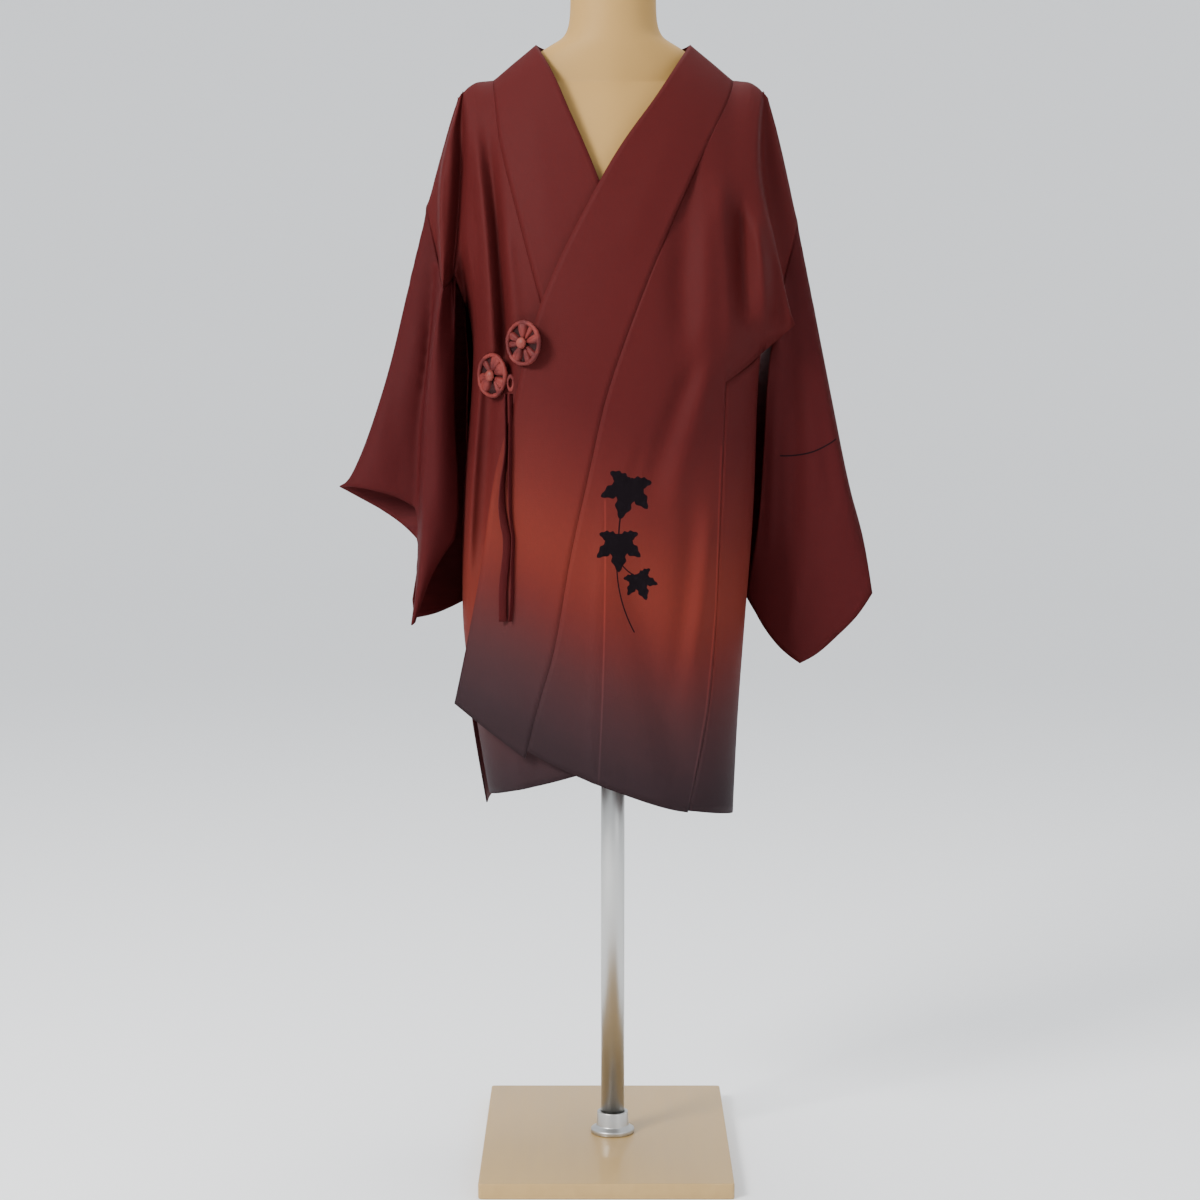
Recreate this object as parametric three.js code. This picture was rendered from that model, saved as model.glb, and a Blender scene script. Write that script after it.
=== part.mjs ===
// Wrap-front kimono coat, worn closed on a limbless dress form with a base board.
// Millimetres, +Z up. The front of the coat faces -Y and the wearer's left is +X.
// The origin is the middle of the base board's underside.

import * as THREE from "three";

// ---------------------------------------------------------------- driving dimensions

const wall = 1.6; // silk with its lining
const seamGap = 0.3; // between pieces that are sewn together
const armholeGap = 1.5; // between the middles of two walls that bend at the armhole
const roundness = 2.3; // exponent of the body's superellipse sections
const slitHeight = 918; // where the front hangs free of the shoulder's pull
const nape = { halfWidth: 89, height: 1303 }; // inner edge of the collar where it crosses the shoulder
const bandEnd = { halfWidth: 138, height: 1262 }; // collar seam where it crosses the shoulder
const shoulderEnd = { halfWidth: 172, height: 1249 }; // where the cloth leaves the form
const innerInset = 5.5; // how far the covered front lies inside the outer one
const backHem = { middle: 434, left: 419, right: 408 }; // lifted a little over the sash's knot
const sideReach = 171; // the sides of the back stand no further out than this
const napeDrop = { seam: 30, edge: 12 }; // the collar dips this much at the middle of the back
const napeDepth = 80; // how far behind the shoulders' top line the collar's edge stands

const colours = {
  burgundy: 0x6a2b2e,
  rosette: 0x7d3a38,
  button: 0x9a4a40,
  formCloth: 0xd7b987,
  steel: 0xb9b9b6,
  board: 0xcdb48c,
};

// Level sections of the worn body. left, right: half widths; flap: half width that the
// outer front's loose edge bends to; front, back: depths from the middle.
const bodySections = [
  { height: 400, left: 146, right: 142, flap: 222, front: 121, back: 128 },
  { height: 520, left: 166, right: 147, flap: 220, front: 123, back: 134 },
  { height: 650, left: 182, right: 156, flap: 210, front: 125, back: 141 },
  { height: 780, left: 180, right: 165, flap: 200, front: 127, back: 150 },
  { height: 918, left: 169, right: 169, flap: 194, front: 129, back: 157 },
  { height: 950, left: 168, right: 176, flap: 196, front: 129, back: 157 },
  { height: 985, left: 170, right: 228, flap: 200, front: 127, back: 156 },
  { height: 1048, left: 194, right: 224, flap: 200, front: 122, back: 151 },
  { height: 1100, left: 190, right: 216, flap: 205, front: 118, back: 146 },
  { height: 1170, left: 188, right: 206, flap: 206, front: 114, back: 140 },
  { height: 1250, left: 196, right: 204, flap: 204, front: 112, back: 134 },
];

// Top line of the shoulders, the same on both sides.
const shoulderLine = [
  { out: 0, height: 1350 },
  { out: 60, height: 1320 },
  { out: 89, height: 1303 },
  { out: 101, height: 1293 },
  { out: 122, height: 1277 },
  { out: 138, height: 1262 },
  { out: 156, height: 1260 },
  { out: 167, height: 1254 },
  { out: 176, height: 1244 },
];

// Outer front: where the collar seam and the free edge run, by height.
const outerBand = [
  { height: 480, seam: -103, edge: -198 },
  { height: 550, seam: -86, edge: -182 },
  { height: 610, seam: -68, edge: -169 },
  { height: 720, seam: -49, edge: -148 },
  { height: 810, seam: -29, edge: -135 },
  { height: 900, seam: -9, edge: -110 },
  { height: 950, seam: 7, edge: -99 },
  { height: 1010, seam: 30, edge: -81 },
  { height: 1090, seam: 62, edge: -44 },
  { height: 1145, seam: 87, edge: -14 },
  { height: 1180, seam: 103, edge: 5 },
  { height: 1205, seam: 115, edge: 23 },
  { height: 1235, seam: 130, edge: 46 },
  { height: 1262, seam: 138, edge: 63 },
  { height: 1303, seam: 138, edge: 89 },
];

// Inner front: the same two lines, mostly covered by the outer front.
const innerBand = [
  { height: 400, seam: 0, edge: 104 },
  { height: 520, seam: 0, edge: 103 },
  { height: 640, seam: -8, edge: 99 },
  { height: 760, seam: -22, edge: 88 },
  { height: 880, seam: -44, edge: 68 },
  { height: 960, seam: -66, edge: 46 },
  { height: 1010, seam: -82, edge: 29 },
  { height: 1090, seam: -103, edge: 4 },
  { height: 1145, seam: -118, edge: -16 },
  { height: 1195, seam: -130, edge: -37 },
  { height: 1230, seam: -134, edge: -53 },
  { height: 1262, seam: -138, edge: -66 },
  { height: 1303, seam: -138, edge: -89 },
];

// Lower edges: height of the hem at each place across the front.
const outerHem = [
  { across: -200, height: 556 },
  { across: -182, height: 548 },
  { across: -100, height: 497 },
  { across: -56, height: 476 },
  { across: -21, height: 462 },
  { across: 80, height: 428 },
  { across: 150, height: 412 },
];
const innerHem = [
  { across: -180, height: 418 },
  { across: -142, height: 438 },
  { across: -63, height: 463 },
  { across: 10, height: 486 },
  { across: 104, height: 516 },
];

// Vertical edge where each front breaks towards the arm, by height.
const breakLines = {
  left: [
    { height: 983, front: 207, back: 188 },
    { height: 1062, front: 189, back: 180 },
    { height: 1110, front: 176, back: 172 },
    { height: 1156, front: 166, back: 166 },
    { height: 1200, front: 166, back: 165 },
    { height: 1249, front: 172, back: 172 },
  ],
  right: [
    { height: 1040, front: 182, back: 180 },
    { height: 1062, front: 177, back: 177 },
    { height: 1100, front: 171, back: 171 },
    { height: 1177, front: 167, back: 167 },
    { height: 1215, front: 167, back: 167 },
    { height: 1249, front: 172, back: 172 },
  ],
};

// Side seam of the left half lies on the front, by height.
const leftSideSeam = [
  { height: 400, across: 80 },
  { height: 544, across: 109 },
  { height: 610, across: 115 },
  { height: 720, across: 120 },
  { height: 918, across: 127 },
];

// Soft folds of the hanging body: each runs from its top to its foot, stands out by
// rise (or lies in, where negative) and has the given width. side: which panel has it.
const bodyFolds = [
  { side: "outer", topX: -8, topZ: 820, footX: -16, footZ: 455, width: 9, rise: 3.5 },
  { side: "outer", topX: 22, topZ: 745, footX: 88, footZ: 440, width: 17, rise: -7 },
  { side: "outer", topX: 62, topZ: 1090, footX: 92, footZ: 900, width: 17, rise: -6 },
  { side: "outer", topX: 108, topZ: 1120, footX: 96, footZ: 860, width: 13, rise: 6 },
  { side: "outer", topX: 150, topZ: 1130, footX: 158, footZ: 985, width: 14, rise: -9 },
  { side: "inner", topX: -148, topZ: 915, footX: -172, footZ: 640, width: 9, rise: 8 },
  { side: "inner", topX: -132, topZ: 905, footX: -152, footZ: 600, width: 11, rise: -12 },
  { side: "inner", topX: -146, topZ: 1215, footX: -152, footZ: 985, width: 12, rise: -10 },
  { side: "inner", topX: -164, topZ: 1020, footX: -128, footZ: 950, width: 9, rise: 4 },
  { side: "back", topX: -70, topZ: 980, footX: -92, footZ: 400, width: 20, rise: 7 },
  { side: "back", topX: 60, topZ: 960, footX: 78, footZ: 400, width: 22, rise: 6 },
  { side: "back", topX: 118, topZ: 1120, footX: 112, footZ: 760, width: 16, rise: -7 },
  { side: "back", topX: -116, topZ: 1120, footX: -108, footZ: 780, width: 16, rise: -7 },
];

// Fold lines of the dropped shoulder and of the sleeve, from the front inner edge, over
// the top, to the back inner edge. Each line is [x, y, z] points, top to bottom; the
// shoulder's last point and the sleeve's first are the armhole seam.
const leftArmLines = [
  {
    shoulder: "front break",
    sleeve: [[185, -24, 964], [180, -19, 925], [177, -4, 850], [172, 10, 755], [160, 40, 664]],
  },
  {
    shoulder: [[173.5, -4, 1247.6], [170, -18, 1165], [196, -34, 1010]],
    sleeve: [[194, -14, 900], [188, 4, 770], [181, 33, 622]],
  },
  {
    shoulder: [[175, -4, 1246.2], [180, -14, 1150], [198, -14, 1036]],
    sleeve: [[210, -16, 900], [216, -8, 750], [222, 17, 583]],
  },
  {
    shoulder: [[176, -3, 1244.8], [192, -15, 1150], [206, -10, 1068]],
    sleeve: [[234, -20, 900], [256, -14, 735], [264, 3, 617]],
  },
  {
    shoulder: [[177.2, -2, 1243.4], [199, -10, 1146], [211, -6, 1088]],
    sleeve: [[252, -16, 880], [282, -14, 745], [304, -10, 669]],
  },
  {
    shoulder: [[178.5, 0, 1242], [190, 0, 1203], [203, 0, 1149], [213.5, 2, 1102]],
    sleeve: [[235, 4, 999], [259, 6, 878], [268, 7, 828], [276.5, 8, 790]],
  },
  {
    shoulder: [[177.2, 2, 1243.4], [199, 12, 1146], [211, 12, 1086]],
    sleeve: [[251, 24, 880], [281, 26, 745], [302, 16, 673]],
  },
  {
    shoulder: [[176, 3, 1244.8], [193, 20, 1150], [206, 26, 1062]],
    sleeve: [[234, 42, 900], [256, 38, 735], [263.5, 8, 618]],
  },
  {
    shoulder: [[175, 4, 1246.2], [184, 24, 1150], [198, 46, 1040]],
    sleeve: [[212, 58, 900], [217, 50, 750], [222, 22, 584.5]],
  },
  {
    shoulder: [[173.5, 4, 1247.6], [174, 40, 1165], [194, 70, 1015]],
    sleeve: [[194, 74, 900], [190, 66, 770], [181.5, 38, 623.5]],
  },
  {
    shoulder: "back break",
    sleeve: [[185, 112, 968], [172, 106, 915], [165, 92, 840], [160, 84, 755], [156, 58, 666]],
  },
];
const rightArmLines = [
  {
    shoulder: "front break",
    sleeve: [[-184, -36, 900], [-184, -38, 735], [-207, -44, 704], [-230.5, -42.5, 638]],
  },
  {
    shoulder: [[-173.5, -3, 1247.6], [-177, -13, 1160], [-186, -26, 1036]],
    sleeve: [[-193, -54, 900], [-200, -56, 770], [-219, -50, 685], [-232, -44, 637]],
  },
  {
    shoulder: [[-175, -6, 1246.2], [-195, -40, 1159], [-198, -55, 1098], [-194, -62, 1024]],
    sleeve: [[-202, -63, 988], [-216, -61, 874], [-220, -57, 797], [-223, -53, 714], [-234, -45, 635]],
  },
  {
    shoulder: [[-176, -3, 1244.8], [-198, -16, 1160], [-202, -12, 1058]],
    sleeve: [[-212, -6, 950], [-223, -4, 870], [-228, -8, 767]],
  },
  {
    shoulder: [[-177.2, -2, 1243.4], [-203, -11, 1146], [-210, -8, 1092]],
    sleeve: [[-238, -12, 940], [-258, -16, 860], [-278, -14, 790]],
  },
  {
    shoulder: [[-178.5, 0, 1242], [-187, 0, 1218], [-203, 0, 1163], [-216, 1, 1119]],
    sleeve: [[-238, 2, 1036], [-267, 2, 922], [-300, 0, 830], [-320, 0, 794]],
  },
  {
    shoulder: [[-177.2, 2, 1243.4], [-203, 12, 1146], [-210, 14, 1088]],
    sleeve: [[-238, 22, 940], [-258, 28, 860], [-276, 24, 767]],
  },
  {
    shoulder: [[-176, 3, 1244.8], [-199, 20, 1160], [-203, 28, 1058]],
    sleeve: [[-214, 38, 930], [-222, 34, 850], [-229, 10, 731]],
  },
  {
    shoulder: [[-175, 4, 1246.2], [-190, 34, 1150], [-197, 44, 1040]],
    sleeve: [[-204, 54, 930], [-212, 46, 820], [-230.5, -30, 690]],
  },
  {
    shoulder: [[-173.5, 4, 1247.6], [-180, 44, 1165], [-189, 60, 1034]],
    sleeve: [[-193, 66, 900], [-200, 54, 760], [-231, -36, 643]],
  },
  { shoulder: "back break", sleeve: [[-168, 84, 920], [-173, 84, 800], [-177, 52, 655]] },
];

// Limbless form: level sections from the closed foot up. power: 2 is an ellipse, and less
// draws the section in towards a narrow shoulder.
const formSections = [
  { height: 690, halfWidth: 118, front: 78, back: 84, power: 2.1 },
  { height: 712, halfWidth: 138, front: 92, back: 98, power: 2.1 },
  { height: 800, halfWidth: 141, front: 92, back: 100, power: 2.1 },
  { height: 900, halfWidth: 118, front: 80, back: 86, power: 2.1 },
  { height: 960, halfWidth: 116, front: 82, back: 84, power: 2.1 },
  { height: 1060, halfWidth: 138, front: 96, back: 92, power: 2.1 },
  { height: 1120, halfWidth: 147, front: 91, back: 92, power: 2 },
  { height: 1180, halfWidth: 154, front: 76, back: 82, power: 1.75 },
  { height: 1220, halfWidth: 161, front: 64, back: 70, power: 1.45 },
  { height: 1240, halfWidth: 164, front: 56, back: 60, power: 1.3 },
];
// Its shoulder, from the end up to the neck: under is the clearance below the cloth.
const formShoulder = [
  { halfWidth: 163, under: 1.55, depth: 48, power: 1.25 },
  { halfWidth: 152, under: 2.4, depth: 47, power: 1.25 },
  { halfWidth: 138, under: 3.2, depth: 47, power: 1.3 },
  { halfWidth: 122, under: 9.5, depth: 47, power: 1.4 },
  { halfWidth: 106, under: 10.4, depth: 48, power: 1.5 },
  { halfWidth: 92, under: 10.4, depth: 49, power: 1.65 },
  { halfWidth: 78, under: 10.4, depth: 50, power: 1.8 },
  { halfWidth: 66, under: 10.4, depth: 50, power: 1.9 },
  { halfWidth: 57, under: 10.4, depth: 50, power: 2 },
];
const neck = { radius: 50, foot: 1326, top: 1392, dome: 6 };
const pole = { radius: 14 };
const socket = { radius: 26, height: 26 };
const board = { width: 290, depth: 400, thick: 18, round: 4, shift: -8 };

// Rosettes: a rolled rim round petals that are gathered under a covered button.
const rosette = { radius: 26, base: 1.6, rimRoll: 3.4, petals: 10, petalRise: 3.6, hub: 7 };
const fastenings = [
  { name: "upper", across: -97, height: 962, turn: -40, layer: "outer", stand: 3.5 },
  { name: "lower", across: -134, height: 925, turn: -48, layer: "inner", stand: 1.9 },
];
const buttonSize = { radius: 6.5, rise: 5.5 };
const buttonLoop = { across: -116, height: 917.2, reach: 3.2, roll: 1.2, stretch: 2.4, stand: 2.6 };

// The two ties hang in front of the outer front's loose edge.
const tieSize = { width: 9, thick: 1.4, lift: 1.9 };
const tieLine = [
  { height: 646, front: -124, behind: -116 },
  { height: 681, front: -124, behind: -113 },
  { height: 739, front: -119.5, behind: -112.5 },
  { height: 771, front: -124, behind: -117 },
  { height: 804, front: -123, behind: -116 },
  { height: 842, front: -120, behind: -114.5 },
  { height: 906, front: -120, behind: -115 },
];

// ---------------------------------------------------------------- curves and sections

const { lerp, clamp, degToRad } = THREE.MathUtils;

// A column of a table at a place between its rows, without overshoot.
function readTable(rows, key, column, at) {
  const place = clamp(at, rows[0][key], rows[rows.length - 1][key]);
  let low = 0;
  while (low < rows.length - 2 && rows[low + 1][key] < place) {
    low += 1;
  }
  const slope = (index) => {
    return (rows[index + 1][column] - rows[index][column]) / (rows[index + 1][key] - rows[index][key]);
  };
  const tangent = (index) => {
    if (index === 0 || index === rows.length - 1) {
      return slope(index === 0 ? 0 : index - 1);
    }
    const before = slope(index - 1);
    const after = slope(index);
    return before * after <= 0 ? 0 : (2 * before * after) / (before + after);
  };
  const span = rows[low + 1][key] - rows[low][key];
  const t = (place - rows[low][key]) / span;
  const rise = 3 * t * t - 2 * t * t * t;
  const startPull = t * t * t - 2 * t * t + t;
  const endPull = t * t * t - t * t;
  return lerp(rows[low][column], rows[low + 1][column], rise)
    + span * (startPull * tangent(low) + endPull * tangent(low + 1));
}

function section(height, column) {
  return readTable(bodySections, "height", column, height);
}

function shoulderHeight(across) {
  return readTable(shoulderLine, "out", "height", Math.abs(across));
}

// How far the body's depth has drawn in on its way up to the shoulder line, from 1 to 0.
function shoulderRounding(across, height) {
  const reach = (height - slitHeight) / (shoulderHeight(across) - slitHeight);
  return Math.pow(1 - Math.pow(clamp(reach, 0, 1), 2.2), 0.55);
}

// Sum of the soft folds at a place on the body. The covered front shares the outer's.
function foldRise(side, across, height) {
  let rise = 0;
  for (const fold of bodyFolds) {
    if (fold.side !== side && !(side === "inner" && fold.side === "outer")) {
      continue;
    }
    const down = (fold.topZ - height) / (fold.topZ - fold.footZ);
    const centre = lerp(fold.topX, fold.footX, down);
    const fadeTop = THREE.MathUtils.smoothstep(down, -0.12, 0.25);
    const fadeFoot = fold.footZ > 700 ? 1 - THREE.MathUtils.smoothstep(down, 0.75, 1.12) : 1;
    rise += fold.rise * fadeTop * fadeFoot * Math.exp(-Math.pow((across - centre) / fold.width, 2));
  }
  return rise;
}

// Half width of the section on the side that a place lies on.
function halfWidth(layer, across, height) {
  const width = across >= 0 ? section(height, "right") : section(height, layer === "outer" ? "flap" : "left");
  return width - inset(layer, height);
}

// The covered front lies inside the outer one, and rises to meet the shoulder line.
function inset(layer, height) {
  return layer === "inner" ? innerInset * (1 - THREE.MathUtils.smoothstep(height, 1150, 1225)) : 0;
}

// A point of the body at an angle from the middle of the front (or of the back) and a
// height. Positive angles turn towards +X.
function bodyPoint(layer, angle, height) {
  const turn = degToRad(angle);
  const side = Math.sign(turn) * Math.pow(Math.abs(Math.sin(turn)), 2 / roundness);
  const x = side * halfWidth(layer, side, height);
  const fore = Math.sign(Math.cos(turn)) * Math.pow(Math.abs(Math.cos(turn)), 2 / roundness);
  const forward = layer !== "back";
  const depth = (section(height, forward ? "front" : "back") - inset(layer, height)) * fore;
  const reach = depth * shoulderRounding(x, height) + foldRise(layer, x, height) * Math.abs(fore);
  return new THREE.Vector3(x, forward ? -reach : reach, height);
}

function angleAt(layer, across, height) {
  const share = Math.min(Math.abs(across) / halfWidth(layer, across, height), 1);
  return Math.sign(across) * THREE.MathUtils.radToDeg(Math.asin(Math.pow(share, roundness / 2)));
}

function facePoint(layer, across, height) {
  return bodyPoint(layer, angleAt(layer, across, height), height);
}

// ---------------------------------------------------------------- cloth as a solid

// A surface joined from grids of points, then given the wall's thickness.
class Cloth {
  constructor() {
    this.points = [];
    this.indexOf = new Map();
    this.triangles = [];
    this.neighbours = [];
  }

  indexFor(point) {
    const key = [point.x, point.y, point.z].map((value) => Math.round(value * 50)).join(",");
    if (!this.indexOf.has(key)) {
      this.indexOf.set(key, this.points.length);
      this.points.push(point.clone());
    }
    return this.indexOf.get(key);
  }

  // Rows of points; flip turns the faces round. Faces added to the neighbours only bend
  // the normals at the edge, so that two walls end in line with each other at a seam.
  addGrid(rows, flip = false, faces = this.triangles) {
    for (let row = 0; row < rows.length - 1; row += 1) {
      for (let column = 0; column < rows[row].length - 1; column += 1) {
        const corners = [
          rows[row][column],
          rows[row][column + 1],
          rows[row + 1][column + 1],
          rows[row + 1][column],
        ].map((point) => this.indexFor(point));
        const [a, b, c, d] = corners;
        for (const [first, second, third] of [[a, b, c], [a, c, d]]) {
          if (first !== second && second !== third && third !== first) {
            faces.push(flip ? [first, third, second] : [first, second, third]);
          }
        }
      }
    }
  }

  normals() {
    const sums = this.points.map(() => new THREE.Vector3());
    for (const [a, b, c] of [...this.triangles, ...this.neighbours]) {
      const first = this.points[b].clone().sub(this.points[a]);
      const second = this.points[c].clone().sub(this.points[a]);
      const normal = first.cross(second);
      for (const corner of [a, b, c]) {
        sums[corner].add(normal);
      }
    }
    return sums.map((sum) => sum.normalize());
  }

  solid(thickness) {
    const count = this.points.length;
    const normals = this.normals();
    const outer = this.points.map((point, i) => point.clone().addScaledVector(normals[i], thickness / 2));
    const inner = this.points.map((point, i) => point.clone().addScaledVector(normals[i], -thickness / 2));
    const faces = [];
    const edges = new Map();
    for (const [a, b, c] of this.triangles) {
      faces.push([a, b, c], [a + count, c + count, b + count]);
      for (const [from, to] of [[a, b], [b, c], [c, a]]) {
        edges.set(`${from},${to}`, [from, to]);
      }
    }
    for (const [from, to] of edges.values()) {
      if (!edges.has(`${to},${from}`)) {
        faces.push([from, from + count, to + count], [from, to + count, to]);
      }
    }
    return solidGeometry([...outer, ...inner], faces);
  }
}

function solidGeometry(points, faces) {
  const used = [...new Set(faces.flat())];
  const place = new Map(used.map((index, order) => [index, order]));
  const geometry = new THREE.BufferGeometry();
  const positions = new Float32Array(used.flatMap((index) => points[index].toArray()));
  geometry.setAttribute("position", new THREE.BufferAttribute(positions, 3));
  geometry.setIndex(faces.flat().map((index) => place.get(index)));
  geometry.computeVertexNormals();
  return geometry;
}

function gridOf(rowCount, columnCount, pointAt) {
  const rows = [];
  for (let row = 0; row <= rowCount; row += 1) {
    const points = [];
    for (let column = 0; column <= columnCount; column += 1) {
      points.push(pointAt(column / columnCount, row / rowCount));
    }
    rows.push(points);
  }
  return rows;
}

function curveThrough(points) {
  return new THREE.CatmullRomCurve3(points.map((point) => new THREE.Vector3(...point)), false, "centripetal");
}

// Rows across a set of lines, at the given shares of each line's length.
function loft(lines, shares, stepsBetween) {
  return shares.map((share) => {
    const across = new THREE.CatmullRomCurve3(lines.map((line) => line(share)), false, "centripetal");
    const steps = (lines.length - 1) * stepsBetween;
    return Array.from({ length: steps + 1 }, (_, step) => across.getPoint(step / steps));
  });
}

// ---------------------------------------------------------------- body panels

const lowerRows = 13;
const upperRows = 12;
const breakRows = Array.from({ length: upperRows + 1 }, (_, row) => 1 - Math.pow(1 - row / upperRows, 2.2));
const edgeGap = 0.75; // a panel's edge stands back this far from a seam line
const centreGap = 0.35; // half the gap of the seams at the middle of the back
const underSlit = { bend: 1.1, reach: 22, depth: 2.6 }; // how the left back goes in under the slit's edge

// What sets one half of the coat apart from the other. sign: +1 for the wearer's left.
// tipClear: walls' thicknesses that the sleeve stands clear of the slit's tip. slitBase and
// backCorner: how high the front and the back go at the side, below the slit.
const halves = {
  left: {
    sign: 1,
    front: "outer",
    width: "right",
    band: outerBand,
    hem: outerHem,
    backHem: backHem.right,
    breaks: breakLines.left,
    armLines: leftArmLines,
    slitTip: { front: 983, back: 990 },
    tipClear: { front: 2, back: 6 },
    slitBase: slitHeight,
    backCorner: 958,
    sideSeam: (height) => angleAt("outer", readTable(leftSideSeam, "height", "across", height), height),
  },
  right: {
    sign: -1,
    front: "inner",
    width: "left",
    band: innerBand,
    hem: innerHem,
    backHem: backHem.left,
    breaks: breakLines.right,
    armLines: rightArmLines,
    slitTip: { front: 1040, back: 1036 },
    tipClear: { front: 0.9, back: 4 },
    slitBase: 930,
    backCorner: 930,
    sideSeam: () => -90,
  },
};

// The line where a front or back breaks towards the arm, from the slit's tip (0) to the
// end of the shoulder (1).
function breakPoint(half, face, share) {
  const layer = face === "front" ? half.front : "back";
  const height = lerp(half.slitTip[face], shoulderEnd.height, share);
  return facePoint(layer, half.sign * readTable(half.breaks, "height", face, height), height);
}

function hemAt(half, across) {
  return readTable(half.hem, "across", "height", across);
}

function seamAcross(half, height) {
  return readTable(half.band, "height", "seam", height) + half.sign * edgeGap;
}

// Front below the slit: from the collar seam to the side seam, from the hem upwards.
function frontLower(half) {
  const hemLevel = 460;
  const hemStart = angleAt(half.front, seamAcross(half, hemLevel), hemLevel);
  return gridOf(lowerRows, 11, (share, rise) => {
    const hemAngle = lerp(hemStart, half.sideSeam(hemLevel), share);
    const foot = hemAt(half, bodyPoint(half.front, hemAngle, hemLevel).x);
    const top = lerp(slitHeight, half.slitBase, Math.pow(share, 4));
    const height = lerp(foot, top, rise);
    const start = angleAt(half.front, seamAcross(half, height), height);
    return bodyPoint(half.front, lerp(start, half.sideSeam(height), share), height);
  });
}

// Front above the slit. Its first columns stand on the lower part, the others on the slit.
function frontUpper(half, lowerTop) {
  const slitColumns = 4;
  const corner = lowerTop[lowerTop.length - 1];
  const tip = breakPoint(half, "front", 0);
  const foot = [...lowerTop];
  for (let step = 1; step < slitColumns; step += 1) {
    const share = step / slitColumns;
    const height = lerp(corner.z, tip.z, Math.pow(share, half.sign > 0 ? 1 : 1.6));
    foot.push(facePoint(half.front, lerp(corner.x, tip.x, Math.pow(share, 0.85)), height));
  }
  foot.push(tip);
  const top = foot.map((_, index) => {
    const share = index / (foot.length - 1);
    return shoulderTop(half, lerp(bandEnd.halfWidth + edgeGap, shoulderEnd.halfWidth, share));
  });
  return breakRows.map((rise) => {
    const seam = seamAcross(half, lerp(foot[0].z, top[0].z, rise));
    return risingRow(half.front, foot, top, rise, seam, breakPoint(half, "front", rise));
  });
}

function shoulderTop(half, out) {
  return new THREE.Vector3(half.sign * out, 0, shoulderHeight(out));
}

// One row of a panel that rises from a foot row to a top row, between a line on its
// inner side and a point on its outer side.
function risingRow(layer, foot, top, rise, innerAcross, outer) {
  const last = foot.length - 1;
  return foot.map((point, index) => {
    if (index === last) {
      return outer;
    }
    if (rise === 0 || rise === 1) {
      return rise === 0 ? point : top[index];
    }
    const footShare = (point.x - foot[0].x) / (foot[last].x - foot[0].x);
    const topShare = (top[index].x - top[0].x) / (top[last].x - top[0].x);
    const across = lerp(innerAcross, outer.x, lerp(footShare, topShare, rise));
    return facePoint(layer, across, Math.min(lerp(point.z, top[index].z, rise), shoulderHeight(across)));
  });
}

// Back below the slit: from the centre seam to the side.
function backLower(half) {
  return gridOf(lowerRows, 11, (share, rise) => {
    const foot = lerp(backHem.middle, half.backHem, Math.pow(share, 2));
    const height = lerp(foot, lerp(slitHeight, half.backCorner, Math.pow(share, 4)), rise);
    const angle = angleAt("back", half.sign * centreGap, height);
    return heldIn(bodyPoint("back", lerp(angle, half.sign * 90, share), height));
  });
}

// The left back comes round to the front as far as its side seam. Its top goes in under
// the slit's edge.
function backAround(half) {
  return gridOf(lowerRows, 5, (share, rise) => {
    const seamFoot = hemAt(half, bodyPoint("outer", half.sideSeam(430), 430).x);
    const top = lerp(half.backCorner, slitHeight, Math.pow(share, underSlit.bend));
    const height = lerp(lerp(half.backHem, seamFoot, share), top, rise);
    const seamPlace = bodyPoint("outer", half.sideSeam(height), height).x + seamGap + wall / 2;
    const point = heldIn(bodyPoint("outer", lerp(90, angleAt("outer", seamPlace, height), share), height));
    const raised = THREE.MathUtils.smoothstep(height, slitHeight - underSlit.reach, slitHeight);
    point.y += share < 1 ? underSlit.depth * raised * Math.sin((Math.PI / 2) * Math.min(share * 1.2, 1)) : 0;
    return point;
  });
}

function heldIn(point) {
  point.x = clamp(point.x, -sideReach, sideReach);
  return point;
}

// Back above the slit, up to the neckline and the top of the shoulder.
function backUpper(half, lowerTop) {
  const last = lowerTop.length - 1;
  const neckColumns = 6;
  const tip = breakPoint(half, "back", 0);
  const slitRow = lowerTop.map((point, index) => {
    const share = Math.abs(point.x / lowerTop[last].x);
    return index === last ? tip : facePoint("back", share * tip.x, lerp(936, tip.z, share * share));
  });
  const top = lowerTop.map((_, index) => {
    if (index <= neckColumns) {
      return napeSeam(half, (Math.PI / 2) * (1 - index / neckColumns), 2 * edgeGap);
    }
    const share = (index - neckColumns) / (last - neckColumns);
    return shoulderTop(half, lerp(bandEnd.halfWidth + 2 * edgeGap, shoulderEnd.halfWidth, share));
  });
  top[0].x = half.sign * centreGap;
  const rows = breakRows.map((rise) => {
    return risingRow("back", slitRow, top, rise, half.sign * centreGap, breakPoint(half, "back", rise));
  });
  return [lowerTop, ...rows];
}

// The collar seam behind the neck, from the shoulder (0) to the centre of the back.
function napeSeam(half, turn, clear) {
  const x = half.sign * (bandEnd.halfWidth + clear) * Math.cos(turn);
  const height = bandEnd.height - napeDrop.seam * Math.pow(Math.sin(turn), 2) - clear * Math.sin(turn);
  return facePoint("back", x, Math.min(height, shoulderHeight(x)));
}

function shoulderLines(half) {
  return half.armLines.map((line) => {
    if (line.shoulder === "front break") {
      return (share) => breakPoint(half, "front", 1 - share);
    }
    if (line.shoulder === "back break") {
      return (share) => breakPoint(half, "back", 1 - share);
    }
    const curve = curveThrough(line.shoulder);
    return (share) => curve.getPointAt(share);
  });
}

const shoulderShares = breakRows.map((rise) => 1 - rise).reverse();

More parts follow.
